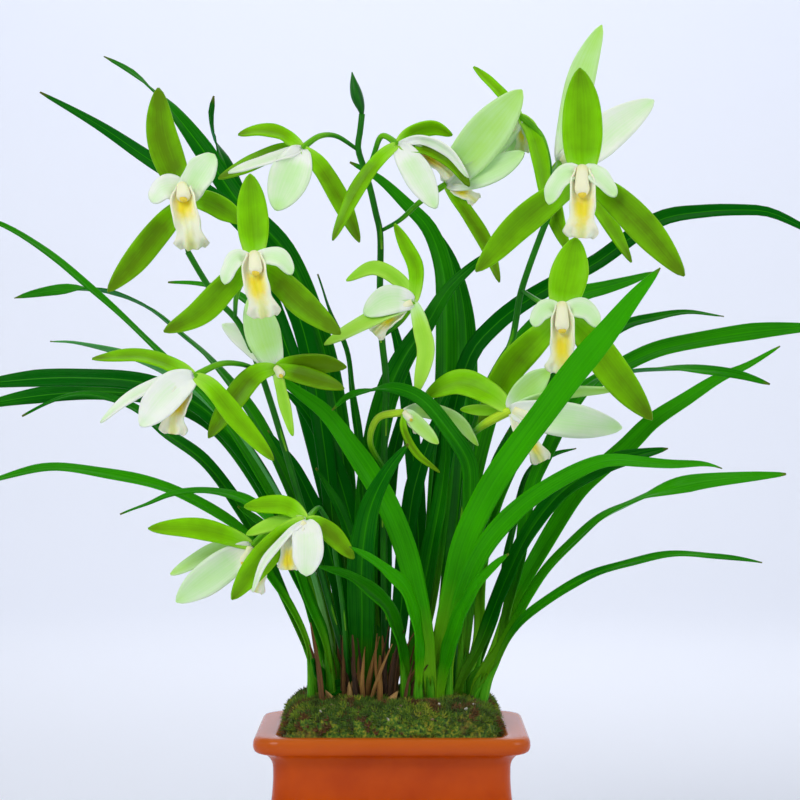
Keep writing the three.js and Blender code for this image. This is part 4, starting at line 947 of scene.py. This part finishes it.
# Bud at the top of the middle stem. Three sepals still folded over one another, drawn out to a point.
BUD_DEPTH = 8 * DEPTH_SPREAD
BUD_ROUTE = [(-15, 409.5), (-15.6, 413), (-17.5, 419), (-19, 425), (-20, 431)]
BUD_STEPS = 30
BUD_TONE = 0.12


def bud_radius(share):
    """Swells from the stalk to the middle of the bud and draws in to its point."""
    swell = math.sin(math.pi * min(1, share / 1.04) ** 0.9) ** 1.3
    return 0.9 + 2.3 * swell - 0.75 * share


bud_points = [sighted(x, height, BUD_DEPTH) for x, height in BUD_ROUTE]
bud_shape = bmesh.new()
roll_stem(bud_shape, bud_points, bud_radius, BUD_STEPS, ribs=0.12, tone=BUD_TONE)
finish_piece("bud_top_closed", bud_shape, [stem_skin], "bud", ["bud_top"])

# Flowers. Waxy green sepals and paler petals, those that the picture shows of each flower, round an
# ivory column over a lip blotched with yellow. The two flowers at the back show no lip. Each hangs on
# a bent stalk from a joint of its stem.
TEPAL_STRIPS = 10
TEPAL_STEPS = 26
TEPAL_THICKNESS = 0.9
TEPAL_GROOVE = 0.25
SEPAL_CUP = 0.3
PETAL_CUP = 0.34
LIP_STRIPS = 16
LIP_STEPS = 34
LIP_THICKNESS = 0.8
LIP_KEEL = 0.6
COLUMN_STEPS = 20
CAP_SIDES = 14
CAP_RINGS = 9
STALK_SIDES = 12
STALK_STEPS = 34
STALK_LAP = 12
STALK_RADIUS = 1.25
STALK_TONE = 0.5
PETAL_WIDTH = 14
PETAL_VEIN_GAP = 0.7
PETAL_VEINS = round(PETAL_WIDTH / PETAL_VEIN_GAP)
PETAL_CLOUD = 9
LIP_FRECKLE = 3

# A flower's stalk leaves its stem at height, or at the stem's tip, and goes by way of via; stalk is
# its radius and tone. A sepal or petal is its width, its tone, from 0, olive green, to 1, white, the
# degrees it is turned, and its route. The lip is its width, the share of its length where the yellow
# blotch is, and its route; the column is its width and route. Routes are offsets from the centre.
FLOWERS = {
    "flower_left_top": {
        "centre": (-102, 367, 52), "stem": "scape_left", "height": "tip", "via": [],
        "round_petals": True,
        "sepals": [(14.5, 0.05, 0, (-6, 12, -3), (-13, 32, -2), (-15, 56, 4)),
                   (11.5, 0.06, -20, (-10, -10, 0), (-28, -32, 3), (-40, -46, 6)),
                   (10, 0.1, 20, (8, 0, -2), (20, -6, -4), (28, -12, -6))],
        "petals": [(11.5, 0.95, 15, (-7, 6, 3), (-13, 5, 6), (-18, -1, 7)),
                   (14, 0.88, -15, (3, 8, 3), (8, 16, 5), (13, 23, 6))],
        "lip": (15, 0.3, (-2, 6, 3), (-2, -2, 6), (0, -12, 9), (1, -20, 9), (1.5, -25, 6)),
        "column": (7.6, (-3, 7, 2), (-2.5, 4, 6), (-2, 0, 9))},
    "flower_left_mid": {
        "centre": (-69, 336, 66), "stem": "scape_left", "height": 308, "via": [(-77, 322, 54)],
        "round_petals": True,
        "sepals": [(14, 0.16, 0, (0, 10, -2), (-1, 28, -2), (-2, 44, 3)),
                   (11.5, 0.1, -20, (-10, -8, 0), (-28, -26, 3), (-45, -35, 6)),
                   (12, 0.04, 20, (10, -7, 0), (26, -22, 3), (43, -36, 8))],
        "petals": [(7.5, 0.9, 30, (-8, 2, 4), (-12, -3, 7), (-15, -11, 8)),
                   (8, 0.88, -30, (8, 3, 4), (14, 1, 6), (19, -6, 6))],
        "lip": (14, 0.5, (0, 4, 2), (0.5, -6, 5), (2, -14, 8), (4, -22, 8), (5, -28, 6)),
        "column": (7.2, (0, 4, 2), (0.5, 0, 6), (1, -6, 9))},
    "flower_left_back": {
        "centre": (-58, 283, 38), "stem": "scape_left", "height": 282, "via": [],
        "sepals": [(16, 0.68, 10, (-5, 12, -1), (-9, 26, 2), (-11, 38, 2)),
                   (11, 0.97, 10, (-13, 13, -6), (-27, 22, -7)),
                   (9, 0.0, 30, (12, 2, 3), (26, 2, 6), (35, 0, 8)),
                   (5, 0.4, 40, (2, -8, 3), (8, -34, 6)),
                   (10.5, 0.07, 10, (-10, -3, 6), (-22, -17, 10), (-34, -35, 12))],
        "petals": [(8, 0.02, -30, (14, -4, 6), (34, -10, 12))],
        "column": (5, (0, 0, 1), (1, -1, 2), (3, -4, 5))},
    "flower_left_side": {
        "centre": (-99, 279, 56), "stem": "scape_left", "height": 281,
        "via": [(-76, 285, 44), (-86, 285, 51)],
        "sepals": [(6, 0.12, 50, (-8, 4, -4), (-26, 10, -8), (-51, 9, -6)),
                   (8.5, 0.14, -30, (8, -5, 3), (21, -21, 6), (40, -42, 8))],
        "petals": [(16, 1.0, 10, (-10, -6, 3), (-27, -25, 6)),
                   (5, 0.96, 40, (-14, -2, 0), (-34, -12, 2), (-47, -23, 4))],
        "lip": (12, 0.45, (-3, -4, -1), (-7, -12, 0), (-10, -20, 2), (-11, -29, 2)),
        "column": (6, (-2, -2, -2), (-4, -6, -2), (-6, -11, -1))},
    "flower_low_outer": {
        "centre": (-70, 194, 58), "stem": "scape_low", "height": 202,
        "via": [(-38, 206, 47), (-50, 208, 50), (-60, 203, 55)],
        "sepals": [(9, 0.14, 25, (-12, 5, 2), (-30, 9, 5), (-52, 9, 8))],
        "petals": [(7, 0.7, 40, (-16, -2, -6), (-41, -14, -10)), (15, 0.84, 0, (-14, -10, 2), (-38, -28, 4))],
        "lip": (8, 0.5, (2, -4, 3), (4, -10, 5), (3, -17, 7), (1, -23, 6)),
        "column": (5, (-1, -1, 2), (-2, -4, 4), (-5, -9, 6))},
    "flower_low_inner": {
        "centre": (-43, 207, 62), "stem": "scape_low", "height": "tip", "via": [],
        "round_petals": True,
        "sepals": [(8, 0.16, 30, (-10, 7, 0), (-31, 7, 2)), (8, 0.05, -30, (9, -4, -2), (24, -19, 2)),
                   (6, 0.4, 30, (-16, -2, 1), (-30, -7, 3)),
                   (12, 0.14, -25, (-12, -9, 5), (-25, -23, 8), (-37, -40, 10))],
        "petals": [(14, 0.97, 0, (1, -13, 9), (0, -28, 12)),
                   (3.2, 0.95, 15, (-9, -7, 7), (-21, -21, 11), (-27, -36, 13))],
        "lip": (9, 0.78, (-3, -3, 2), (-7, -10, 4), (-9, -18, 6), (-9, -25, 6)),
        "column": (5, (-1, -1, 0), (-3, -4, 1), (-4, -9, 2))},
    "flower_mid_left": {
        "centre": (-45, 393, 18), "stem": "scape_middle", "height": 392,
        "via": [(-28, 399, 10), (-36, 399, 14)],
        "sepals": [(6.5, 0.12, 40, (-10, 7, 1), (-20, 9, 2), (-32, 7, 3)),
                   (9, 0.08, -25, (8, -8, 2), (18, -24, 4), (29, -47, 6)),
                   (8, 0.08, 30, (-12, -2, -3), (-26, -8, -5), (-42, -15, -6))],
        "petals": [(19, 0.86, 0, (-6, -14, 5), (-13, -31, 9)), (5, 0.97, 50, (-14, -5, 3), (-37, -12, 6))],
        "lip": (7, 0.5, (-2, -3, -2), (-6, -8, -3), (-10, -14, -3), (-13, -19, -3)),
        "column": (5, (-1, -1, -1), (-4, -4, -3), (-7, -8, -3))},
    "flower_mid_right": {
        "centre": (3, 395, 22), "stem": "scape_middle", "height": 378, "via": [(-9, 390, 14), (-5, 399, 17)],
        "sepals": [(6.5, 0.16, 40, (8, 6, -1), (18, 8, -2), (27, 4, -2)),
                   (7, 0.1, 30, (-8, -6, 4), (-20, -22, 7), (-33, -48, 10)),
                   (8, 0.04, -40, (14, -2, 2), (26, -8, 4), (36, -21, 5))],
        "petals": [(13.5, 0.93, 0, (8, -12, 5), (19, -32, 9)),
                   (4, 0.97, 40, (12, 2, 4), (25, -4, 7), (35, -17, 8))],
        "lip": (8, 0.5, (4, -2, -1), (14, -6, -1), (22, -11, 0), (27, -16, 0)),
        "column": (5, (1, -1, -1), (4, -4, -2), (8, -8, -2))},
    "flower_mid_arm": {
        "centre": (27, 375, 16), "stem": "scape_middle", "height": 351, "via": [(4, 357, 10), (14, 366, 13)],
        "sepals": [(7, 0.06, -30, (9, -12, 3), (20, -30, 6), (27, -49, 8)),
                   (5, 0.2, 30, (3, 5, 1), (10, 8, 3)),
                   (12, 0.92, 10, (14, 10, -4), (28, 22, -14), (37, 30, -20))],
        "petals": [(20, 0.68, 5, (12, 15, 8), (25, 31, 14), (38, 47, 18)),
                   (13, 0.8, -10, (14, 4, 6), (27, 9, 9), (39, 16, 10))],
        "lip": (7, 0.4, (3, -2, 1), (8, -4, 2), (12, -6, 3), (15, -9, 2)),
        "column": (5, (1, -1, 0), (3, -3, -2), (6, -6, -2))},
    "flower_right_arm": {
        "centre": (64, 409, 22), "stem": "scape_right", "height": 374, "via": [(78, 389, 18), (74, 400, 20)],
        "sepals": [(5, 0.16, 45, (-10, 12, -2), (-23, 25, -3)),
                   (8, 0.14, -30, (5, -6, -1), (10, -22, 1), (13, -45, 3))],
        "petals": [(10, 0.85, 20, (-7, -9, -6), (-16, -21, -10)),
                   (9, 0.85, 20, (-2, -12, -9), (-5, -27, -14))],
        "lip": (7, 0.5, (0, -2, -2), (1, -8, -5), (1, -13, -6), (1, -18, -6)),
        "column": (5, (0, 0, -1), (-3, -4, -3), (-5, -8, -4))},
    "flower_right_top": {
        "centre": (95, 376, 44), "stem": "scape_right", "height": 364, "via": [(87, 370, 30)],
        "round_petals": True,
        "sepals": [(18.5, 0.15, 0, (0, 12, -3), (0, 34, -1), (-1, 57, 5)),
                   (14, 0.06, 15, (12, -5, 0), (32, -24, 4), (51, -47, 8)),
                   (13.5, 0.12, -15, (-12, -6, -4), (-32, -22, -8), (-53, -45, -10))],
        "petals": [(8.5, 0.86, 30, (-5, 5, 4), (-12, 0, 7), (-17, -11, 8)),
                   (8.5, 0.86, -30, (4, 5, 4), (10, 1, 7), (17, -7, 8))],
        "lip": (15, 0.6, (0, 6, 2), (0, -4, 6), (0, -14, 9), (-0.5, -22, 10), (-1, -28, 9)),
        "column": (8, (0, 7, 2), (0, 2, 6), (0, -7, 10))},
    "flower_right_back": {
        "centre": (84, 386, 4), "stem": "scape_right", "height": "tip", "via": [],
        "sepals": [(14, 0.68, 5, (5, 18, -3), (12, 47, -5), (21, 68.5, -4)),
                   (8, 0.1, 30, (-4, -14, 6), (-2, -28, 10), (4, -45, 12)),
                   (8, 0.12, -30, (12, -12, 4), (23, -28, 6), (36, -50, 8))],
        "petals": [(18, 0.95, -5, (14, 6, -5), (28, 18, -8), (47, 31, -8))],
        "column": (6, (1, 0, 1), (4, 2, 3), (7, 4, 5))},
    "flower_right_mid": {
        "centre": (85, 310, 42), "stem": "scape_right", "height": 322, "via": [(74, 316, 28)],
        "round_petals": True,
        "sepals": [(17.5, 0.2, 0, (1, 8, -2), (4, 22, 0), (7, 38, 4)),
                   (14, 0.1, -15, (-8, -8, -3), (-26, -27, -18), (-41, -57, -32)),
                   (15, 0.1, 10, (10, -8, -1), (28, -32, 0), (45, -53, 4))],
        "petals": [(9, 0.84, -30, (7, 3, 3), (13, 1, 4), (18, -6, 5)),
                   (8, 0.84, 30, (-6, 3, 3), (-11, 0, 4), (-14, -6, 5))],
        "lip": (14, 0.62, (0, 4, 2), (0, -6, 4), (0, -15, 6), (0, -23, 7), (-1, -30, 6)),
        "column": (7.6, (0, 5, 2), (0, 0, 5), (0, -9, 8))},
    "flower_right_low": {
        "centre": (59, 262, 34), "stem": "scape_right", "height": 250, "via": [(48, 256, 28)],
        "stalk": (1.9, 0.85),
        "sepals": [(12, 0.66, 20, (8, 10, 2), (20, 20, 4)),
                   (12, 0.18, 15, (-10, 8, -2), (-26, 14, -9), (-43, 7, -14))],
        "petals": [(16, 0.88, 0, (22, -4, 5), (36, -6, 8), (56, -9, 10)),
                   (5, 0.62, 45, (22, 8, 2), (53, 10, 6)),
                   (5, 0.3, -30, (-12, 0, -8), (-25, 0, -16))],
        "lip": (9, 0.6, (2, -3, 1), (8, -14, 3), (13, -20, 5), (16, -26, 5)),
        "column": (6, (2, 0, 0), (6, -2, 1), (11, -5, 2))},
    "flower_mid_side": {
        "centre": (11, 316, 26), "stem": "scape_middle", "height": 298, "via": [(4, 306, 16)],
        "sepals": [(7, 0.17, -30, (1, 17, 0), (-4, 28, 1), (-10, 39, 2)),
                   (8, 0.46, 25, (4, -14, 3), (6, -24, 4), (1, -46, 6))],
        "petals": [(13.5, 0.88, 10, (-12, 1, 3), (-25, -6, 5)), (7, 0.5, 35, (-20, -8, 4), (-45, -21, 8)),
                   (7, 0.4, 30, (-8, 11, -6), (-20, 17, -8), (-34, 11, -7))],
        "lip": (8.5, 0.5, (-5, -3, 0), (-12, -8, 1), (-16, -12, 2), (-20, -16, 2)),
        "column": (5, (-1, 0, 0), (-5, -2, 0), (-9, -5, 0))},
    "flower_mid_low": {
        "centre": (6, 261, 34), "stem": "scape_middle", "height": 232, "via": [(-11, 247, 20), (-7, 258, 26)],
        "stalk": (1.45, 0.85),
        "sepals": [(7, 0.62, 20, (10, 1, -14), (26, -4, -20), (37, -17, -22)),
                   (3, 0.04, -30, (0, -8, 4), (6, -20, 7), (18, -30, 8))],
        "petals": [(6.5, 0.62, 20, (3, -2, 3), (9, -8, 5), (17, -16, 6))],
        "lip": (4, 0.5, (1, -2, -1), (3, -4, 0), (5, -7, 1), (7, -10, 1)),
        "column": (4, (0, 0, 1), (2, -2, 2), (4, -4, 4))},
}


def tepal_outline(share, blunt):
    """How wide a sepal or petal is of its full width: a narrow claw, widest past the middle, a short end."""
    claw = 0.3 * (1 - share) ** 2
    spread, fullness = (1.25, 0.5) if blunt else (1.12, 0.62)
    return max(0.03, claw + 0.94 * math.sin(math.pi * share**spread) ** fullness)


def add_tepal(shape, place, route, width, tone, turned, cup, blunt, seed):
    """Adds one cupped sepal or petal. It is made wider as it is turned, so it shows the same width."""
    full_width = width / math.cos(math.radians(turned))

    def section(across, share):
        half = full_width / 2 * tepal_outline(share, blunt)
        hollow = cup * half * across * across * (1 - 0.5 * share)
        groove = -TEPAL_GROOVE * math.exp(-(across / 0.12) ** 2) * min(1, (1 - share) * 4)
        ruffle = (0.12 if blunt else 0.05) * half * math.sin(share * 14 + seed + across * 2) * across * across
        return across * half * MM, (hollow + groove + ruffle) * MM

    points = [place((0, 0, 0)), *(place(offset) for offset in route)]
    bend_sheet(shape, points, TEPAL_STRIPS, TEPAL_STEPS, section,
               lambda share, point_share: turned * smoothstep(0, 0.35, share), tone)


def add_lip(shape, place, route, width, blotch):
    """Adds the lip: side lobes that rise round the column, a waist, two keels down the middle, and a
    ruffled hem that flares and curls back."""
    def section(across, share):
        lobe = 0.55 + 0.45 * smoothstep(0, 0.25, share)
        waist = 1 - 0.2 * math.exp(-((share - 0.7) / 0.1) ** 2)
        flare = 1 + 0.16 * smoothstep(0.8, 0.97, share)
        hem = 1 - 0.22 * smoothstep(0.95, 1, share) - 0.08 * across * across * smoothstep(0.9, 1, share)
        half = width / 2 * lobe * waist * flare * hem
        trough = smoothstep(0.8, 0.45, share)
        rise = half * across * across * (0.62 * trough - 0.35 * smoothstep(0.8, 1, share))
        ruffle = 0.13 * half * math.sin(across * 10) * smoothstep(0.75, 0.97, share)
        keels = LIP_KEEL * math.exp(-((abs(across) - 0.2) / 0.1) ** 2) * smoothstep(0.15, 0.35, share)
        return across * half * (1 - 0.3 * trough * across * across) * MM, (rise + ruffle + keels) * MM

    bend_sheet(shape, [place(offset) for offset in route], LIP_STRIPS, LIP_STEPS, section, tone=blotch)


def add_column(shape, place, route, width):
    """Adds the column, thicker towards its blunt end, with the rounded anther cap under its tip."""
    def radius_at(share):
        return width / 2 * (0.66 + 0.34 * share) * max(0.1, 1 - max(0, (share - 0.72) / 0.28) ** 2) ** 0.5

    points = [place(offset) for offset in route]
    roll_stem(shape, points, radius_at, COLUMN_STEPS)
    tones = shape.verts.layers.float["tone"]
    heading = (points[-1] - points[-2]).normalized()
    upright = Vector((0, 0, 1)).rotation_difference(heading).to_matrix().to_4x4()
    seat = points[-1] - heading * width * 0.2 * MM + Vector((0, -width * 0.12 * MM, -width * 0.1 * MM))
    seated = Matrix.Translation(seat) @ upright @ Matrix.Diagonal((1, 0.8, 0.7, 1))
    cap = bmesh.ops.create_uvsphere(shape, u_segments=CAP_SIDES, v_segments=CAP_RINGS,
                                    radius=width * 0.26 * MM, matrix=seated)["verts"]
    for corner in cap:
        corner[tones] = 1.0


def petal_surface(name, stops, vein_strength, heart_strength):
    """Waxy flower skin: fine lengthwise veins, a paler claw and paler edges, on a ramp of tones."""
    made, tree, where, strip, tone = sheet_material(name)
    along = strip.outputs["Y"]
    cloud_scale = 1 / (PETAL_CLOUD * MM)
    cloud = add_node(tree, "ShaderNodeTexNoise", {"Vector": where, "Scale": cloud_scale, "Detail": 3.0})
    veins = lengthwise_streaks(tree, strip, tone, PETAL_VEINS, 1.4, 2.0)
    veined = add_node(tree, "ShaderNodeMath", {0: veins, 1: vein_strength, 2: -vein_strength / 2},
                      operation="MULTIPLY_ADD")
    clouded = add_node(tree, "ShaderNodeMath", {0: cloud, 1: 0.16, 2: -0.08}, operation="MULTIPLY_ADD")
    claw = add_node(tree, "ShaderNodeMapRange", {"Value": along, "From Min": 0.02, "From Max": 0.3,
                                                 "To Min": 0.3, "To Max": 0.0})
    end = add_node(tree, "ShaderNodeMapRange", {"Value": along, "From Min": 0.8, "From Max": 1.0,
                                                "To Min": 0.0, "To Max": -0.1})
    from_midrib = distance_from_midrib(tree, strip)
    heart = add_node(tree, "ShaderNodeMapRange", {"Value": from_midrib, "From Min": 0.1, "From Max": 0.5,
                                                  "To Min": -heart_strength, "To Max": heart_strength})
    toned = tone
    for change in (veined, clouded, claw, end, heart):
        toned = add_node(tree, "ShaderNodeMath", {0: toned, 1: change}, operation="ADD")
    skin = add_node(tree, "ShaderNodeValToRGB", {"Fac": toned}, stops=stops)
    bump = add_node(tree, "ShaderNodeBump", {"Height": veins, "Strength": 0.25, "Distance": 0.2 * MM})
    finish_surface(tree, skin, bump, {"Roughness": 0.42, "Specular IOR Level": 0.1, "Subsurface Weight": 0.25,
                                      "Subsurface Radius": (0.8, 1.0, 0.5), "Subsurface Scale": 1.5 * MM})
    return made


# Sepals and petals are thin and waxy, so light glows through them: olive to yellow-green, or nearly
# white. The column is ivory, and its anther cap a warm yellow.
tepal_skin = petal_surface("waxy_sepal_and_petal",
                           [(0.0, "#628c04"), (0.07, "#70ac02"), (0.2, "#86d200"), (0.5, "#b4ea50"),
                            (0.8, "#d2f6b6"), (1.0, "#f6fcec")], 0.14, 0.045)
column_skin = petal_surface("ivory_column_and_anther_cap",
                            [(0.0, "#faf8d0"), (0.6, "#f8f09c"), (0.95, "#f4d84c")], 0.1, 0.0)

# The lip is ivory, with one soft yellow blotch below the column, whose place along it is the mesh's
# tone, and a yellow-green streak down to the hem.
lip_skin, tree, where, strip, blotch = sheet_material("ivory_lip_with_yellow_blotch")
along = strip.outputs["Y"]
freckles = add_node(tree, "ShaderNodeTexNoise", {"Vector": where, "Scale": 1 / (LIP_FRECKLE * MM),
                                                 "Detail": 3.0})
uneven = add_node(tree, "ShaderNodeMath", {0: freckles, 1: 0.16, 2: -0.08}, operation="MULTIPLY_ADD")
from_midrib = distance_from_midrib(tree, strip)
from_midrib = add_node(tree, "ShaderNodeMath", {0: from_midrib, 1: uneven}, operation="ADD")
from_blotch = add_node(tree, "ShaderNodeMath", {0: along, 1: blotch}, operation="SUBTRACT")
from_blotch = add_node(tree, "ShaderNodeMath", {0: from_blotch}, operation="ABSOLUTE")
from_blotch = add_node(tree, "ShaderNodeMath", {0: from_blotch, 1: uneven}, operation="ADD")
lip_colour = linear("#fafada")
for colour, across_range, place_along, along_range in [
        ("#dce45c", (0.04, 0.26, 0.6, 0.0), along, (0.5, 0.85, 0.0, 1.0)),
        ("#f8e434", (0.1, 0.5, 1.0, 0.0), from_blotch, (0.05, 0.36, 1.0, 0.0))]:
    shares = []
    for distance, (low, high, at_low, at_high) in [(from_midrib, across_range), (place_along, along_range)]:
        ends = {"From Min": low, "From Max": high, "To Min": at_low, "To Max": at_high}
        shares.append(add_node(tree, "ShaderNodeMapRange", {"Value": distance, **ends},
                               interpolation_type="SMOOTHSTEP"))
    marked = add_node(tree, "ShaderNodeMath", {0: shares[0], 1: shares[1]}, operation="MULTIPLY")
    lip_colour = add_node(tree, "ShaderNodeMix", {"Factor": marked, "A": lip_colour, "B": linear(colour)},
                          data_type="RGBA")
bump = add_node(tree, "ShaderNodeBump", {"Height": freckles, "Strength": 0.3, "Distance": 0.3 * MM})
finish_surface(tree, lip_colour, bump, {"Roughness": 0.5, "Specular IOR Level": 0.2, "Subsurface Weight": 0.3,
                                        "Subsurface Scale": 2 * MM})

# A stalk starts at the place of its stem that is seen at its height. The last one on a stem runs on
# from the stem's own end, and laps over its last STALK_LAP places.
for flower_name, flower in FLOWERS.items():
    centre_x, centre_height, centre_depth = flower["centre"]

    def place(offset):
        """The place of an offset from the flower's centre, as it is seen."""
        x, height, depth = offset
        return sighted(centre_x + x, centre_height + height, centre_depth * DEPTH_SPREAD + depth)

    on_stem = stem_places[flower["stem"]]
    if flower["height"] == "tip":
        joint = [on_stem[-STALK_LAP], on_stem[-1]]
    else:
        seen = [SIGHT_Z * MM + (spot.z - SIGHT_Z * MM) * SIGHT_DISTANCE * MM / (SIGHT_DISTANCE * MM + spot.y)
                for spot in on_stem]
        joint = [next(spot for spot, height in zip(on_stem, seen) if height >= flower["height"] * MM)]
    via = [sighted(x, height, depth * DEPTH_SPREAD) for x, height, depth in flower["via"]]
    stalk_radius, stalk_tone = flower.get("stalk", (STALK_RADIUS, STALK_TONE))

    def stalk_radius_at(share):
        """Thicker towards the flower, and rounded off at its end."""
        return stalk_radius * (0.75 + 0.6 * share) * max(0.2, min(1, (1.04 - share) / 0.08)) ** 0.5

    stalk_shape = bmesh.new()
    roll_stem(stalk_shape, [*joint, *via, place((0, 0, 0))], stalk_radius_at, STALK_STEPS, STALK_SIDES, 0.05,
              stalk_tone)
    finish_piece(flower_name + "_stalk", stalk_shape, [stem_skin], "flower_stem", [flower_name])
    for kind, cup in (("sepals", SEPAL_CUP), ("petals", PETAL_CUP)):
        blunt = kind == "petals" and flower.get("round_petals", False)
        blades = bmesh.new()
        for number, (width, tone, turned, *route) in enumerate(flower[kind]):
            add_tepal(blades, place, route, width, tone, turned, cup, blunt, number * 2 + centre_x)
        made = finish_piece(f"{flower_name}_{kind}", blades, [tepal_skin], "flower", [flower_name])
        thicken(made, "tepal_thickness", TEPAL_THICKNESS)
    if "lip" in flower:
        width, blotch_share, *route = flower["lip"]
        lip_shape = bmesh.new()
        add_lip(lip_shape, place, route, width, blotch_share)
        made = finish_piece(flower_name + "_lip", lip_shape, [lip_skin], "flower", [flower_name])
        thicken(made, "lip_thickness", LIP_THICKNESS)
    width, *route = flower["column"]
    column_shape = bmesh.new()
    add_column(column_shape, place, route, width)
    finish_piece(flower_name + "_column", column_shape, [column_skin], "flower", [flower_name])

# Studio. A pale blue-white floor that turns up into a wall all round, one large soft light from the
# upper left front, a weaker one from the right, and a pale sky, as for a catalogue picture.
FLOOR_RADIUS = 2600
WALL_HEIGHT = 1900
BEND_RADIUS = 900
BEND_STEP = 10
FLOOR_GAP = 0.3
FLOOR_SIDES = 96
STUDIO_PALE = "#eff3fd"
SKY_WHITE = "#ffffff"
SKY_STRENGTH = 0.27

bend_start = FLOOR_RADIUS - BEND_RADIUS
floor_outline = [(0, 0), (bend_start, 0)]
for degrees in range(BEND_STEP, 91, BEND_STEP):
    turn = math.radians(degrees)
    floor_outline.append((bend_start + BEND_RADIUS * math.sin(turn), BEND_RADIUS * (1 - math.cos(turn))))
floor_outline.append((FLOOR_RADIUS, WALL_HEIGHT))
floor_shape = bmesh.new()
corners = [bmesh.ops.create_vert(floor_shape, co=(radius * MM, 0, (lift - FLOOR_GAP) * MM))["vert"][0]
           for radius, lift in floor_outline]
edges = [floor_shape.edges.new(pair) for pair in zip(corners, corners[1:])]
bmesh.ops.spin(floor_shape, geom=edges + corners, axis=(0, 0, 1), cent=(0, 0, 0), angle=math.tau,
               steps=FLOOR_SIDES, use_merge=True)
bmesh.ops.remove_doubles(floor_shape, verts=floor_shape.verts, dist=0.01 * MM)
bmesh.ops.recalc_face_normals(floor_shape, faces=floor_shape.faces)
if floor_shape.faces[0].normal.z < 0:
    bmesh.ops.reverse_faces(floor_shape, faces=floor_shape.faces)
floor_mesh = bpy.data.meshes.new("studio_floor")
floor_shape.to_mesh(floor_mesh)
floor_shape.free()
floor_mesh.polygons.foreach_set("use_smooth", [True] * len(floor_mesh.polygons))
studio_paper, tree = new_material("pale_studio_paper")
finish_surface(tree, None, None, {"Base Color": linear(STUDIO_PALE), "Roughness": 0.95})
floor_mesh.materials.append(studio_paper)
studio_floor = bpy.data.objects.new("studio_floor", floor_mesh)
bpy.context.scene.collection.objects.link(studio_floor)

# Lights. Square soft panels: where each hangs, what it is turned to, its width, and its power in watts.
PLANT_MIDDLE = (0, 0, 220)
WALL_MIDDLE = (0, 2600, 900)
for name, place, aim, width, power in [("key_light", (-750, -1050, 1150), PLANT_MIDDLE, 700, 10.5),
                                       ("side_light", (1100, -500, 700), PLANT_MIDDLE, 600, 4),
                                       ("back_light", (300, 1000, 1100), PLANT_MIDDLE, 900, 2),
                                       ("top_light", (0, 300, 1500), PLANT_MIDDLE, 1200, 4.6),
                                       ("wall_light", (0, 1100, 1700), WALL_MIDDLE, 1200, 16)]:
    lamp_data = bpy.data.lights.new(name, "AREA")
    lamp_data.size = width * MM
    lamp_data.energy = power
    lamp = bpy.data.objects.new(name, lamp_data)
    lamp.location = Vector(place) * MM
    lamp.rotation_euler = (Vector(aim) * MM - lamp.location).to_track_quat("-Z", "Y").to_euler()
    bpy.context.scene.collection.objects.link(lamp)

sky = bpy.data.worlds.new("pale_sky")
sky.use_nodes = True
sky.node_tree.nodes["Background"].inputs["Color"].default_value = linear(SKY_WHITE)
sky.node_tree.nodes["Background"].inputs["Strength"].default_value = SKY_STRENGTH
bpy.context.scene.world = sky
bpy.context.scene.view_settings.view_transform = "Standard"

# Camera, level with the leaves, where the picture was taken from: 400 mm of the plant fill its width.
FILM_WIDTH = 36
SEEN_WIDTH = 400
camera_data = bpy.data.cameras.new("photo_camera")
camera_data.sensor_width = FILM_WIDTH
camera_data.lens = FILM_WIDTH * SIGHT_DISTANCE / SEEN_WIDTH
camera = bpy.data.objects.new("photo_camera", camera_data)
camera.location = (SIGHT_X * MM, -SIGHT_DISTANCE * MM, SIGHT_Z * MM)
camera.rotation_euler = (math.radians(90), 0, 0)
bpy.context.scene.collection.objects.link(camera)
bpy.context.scene.camera = camera
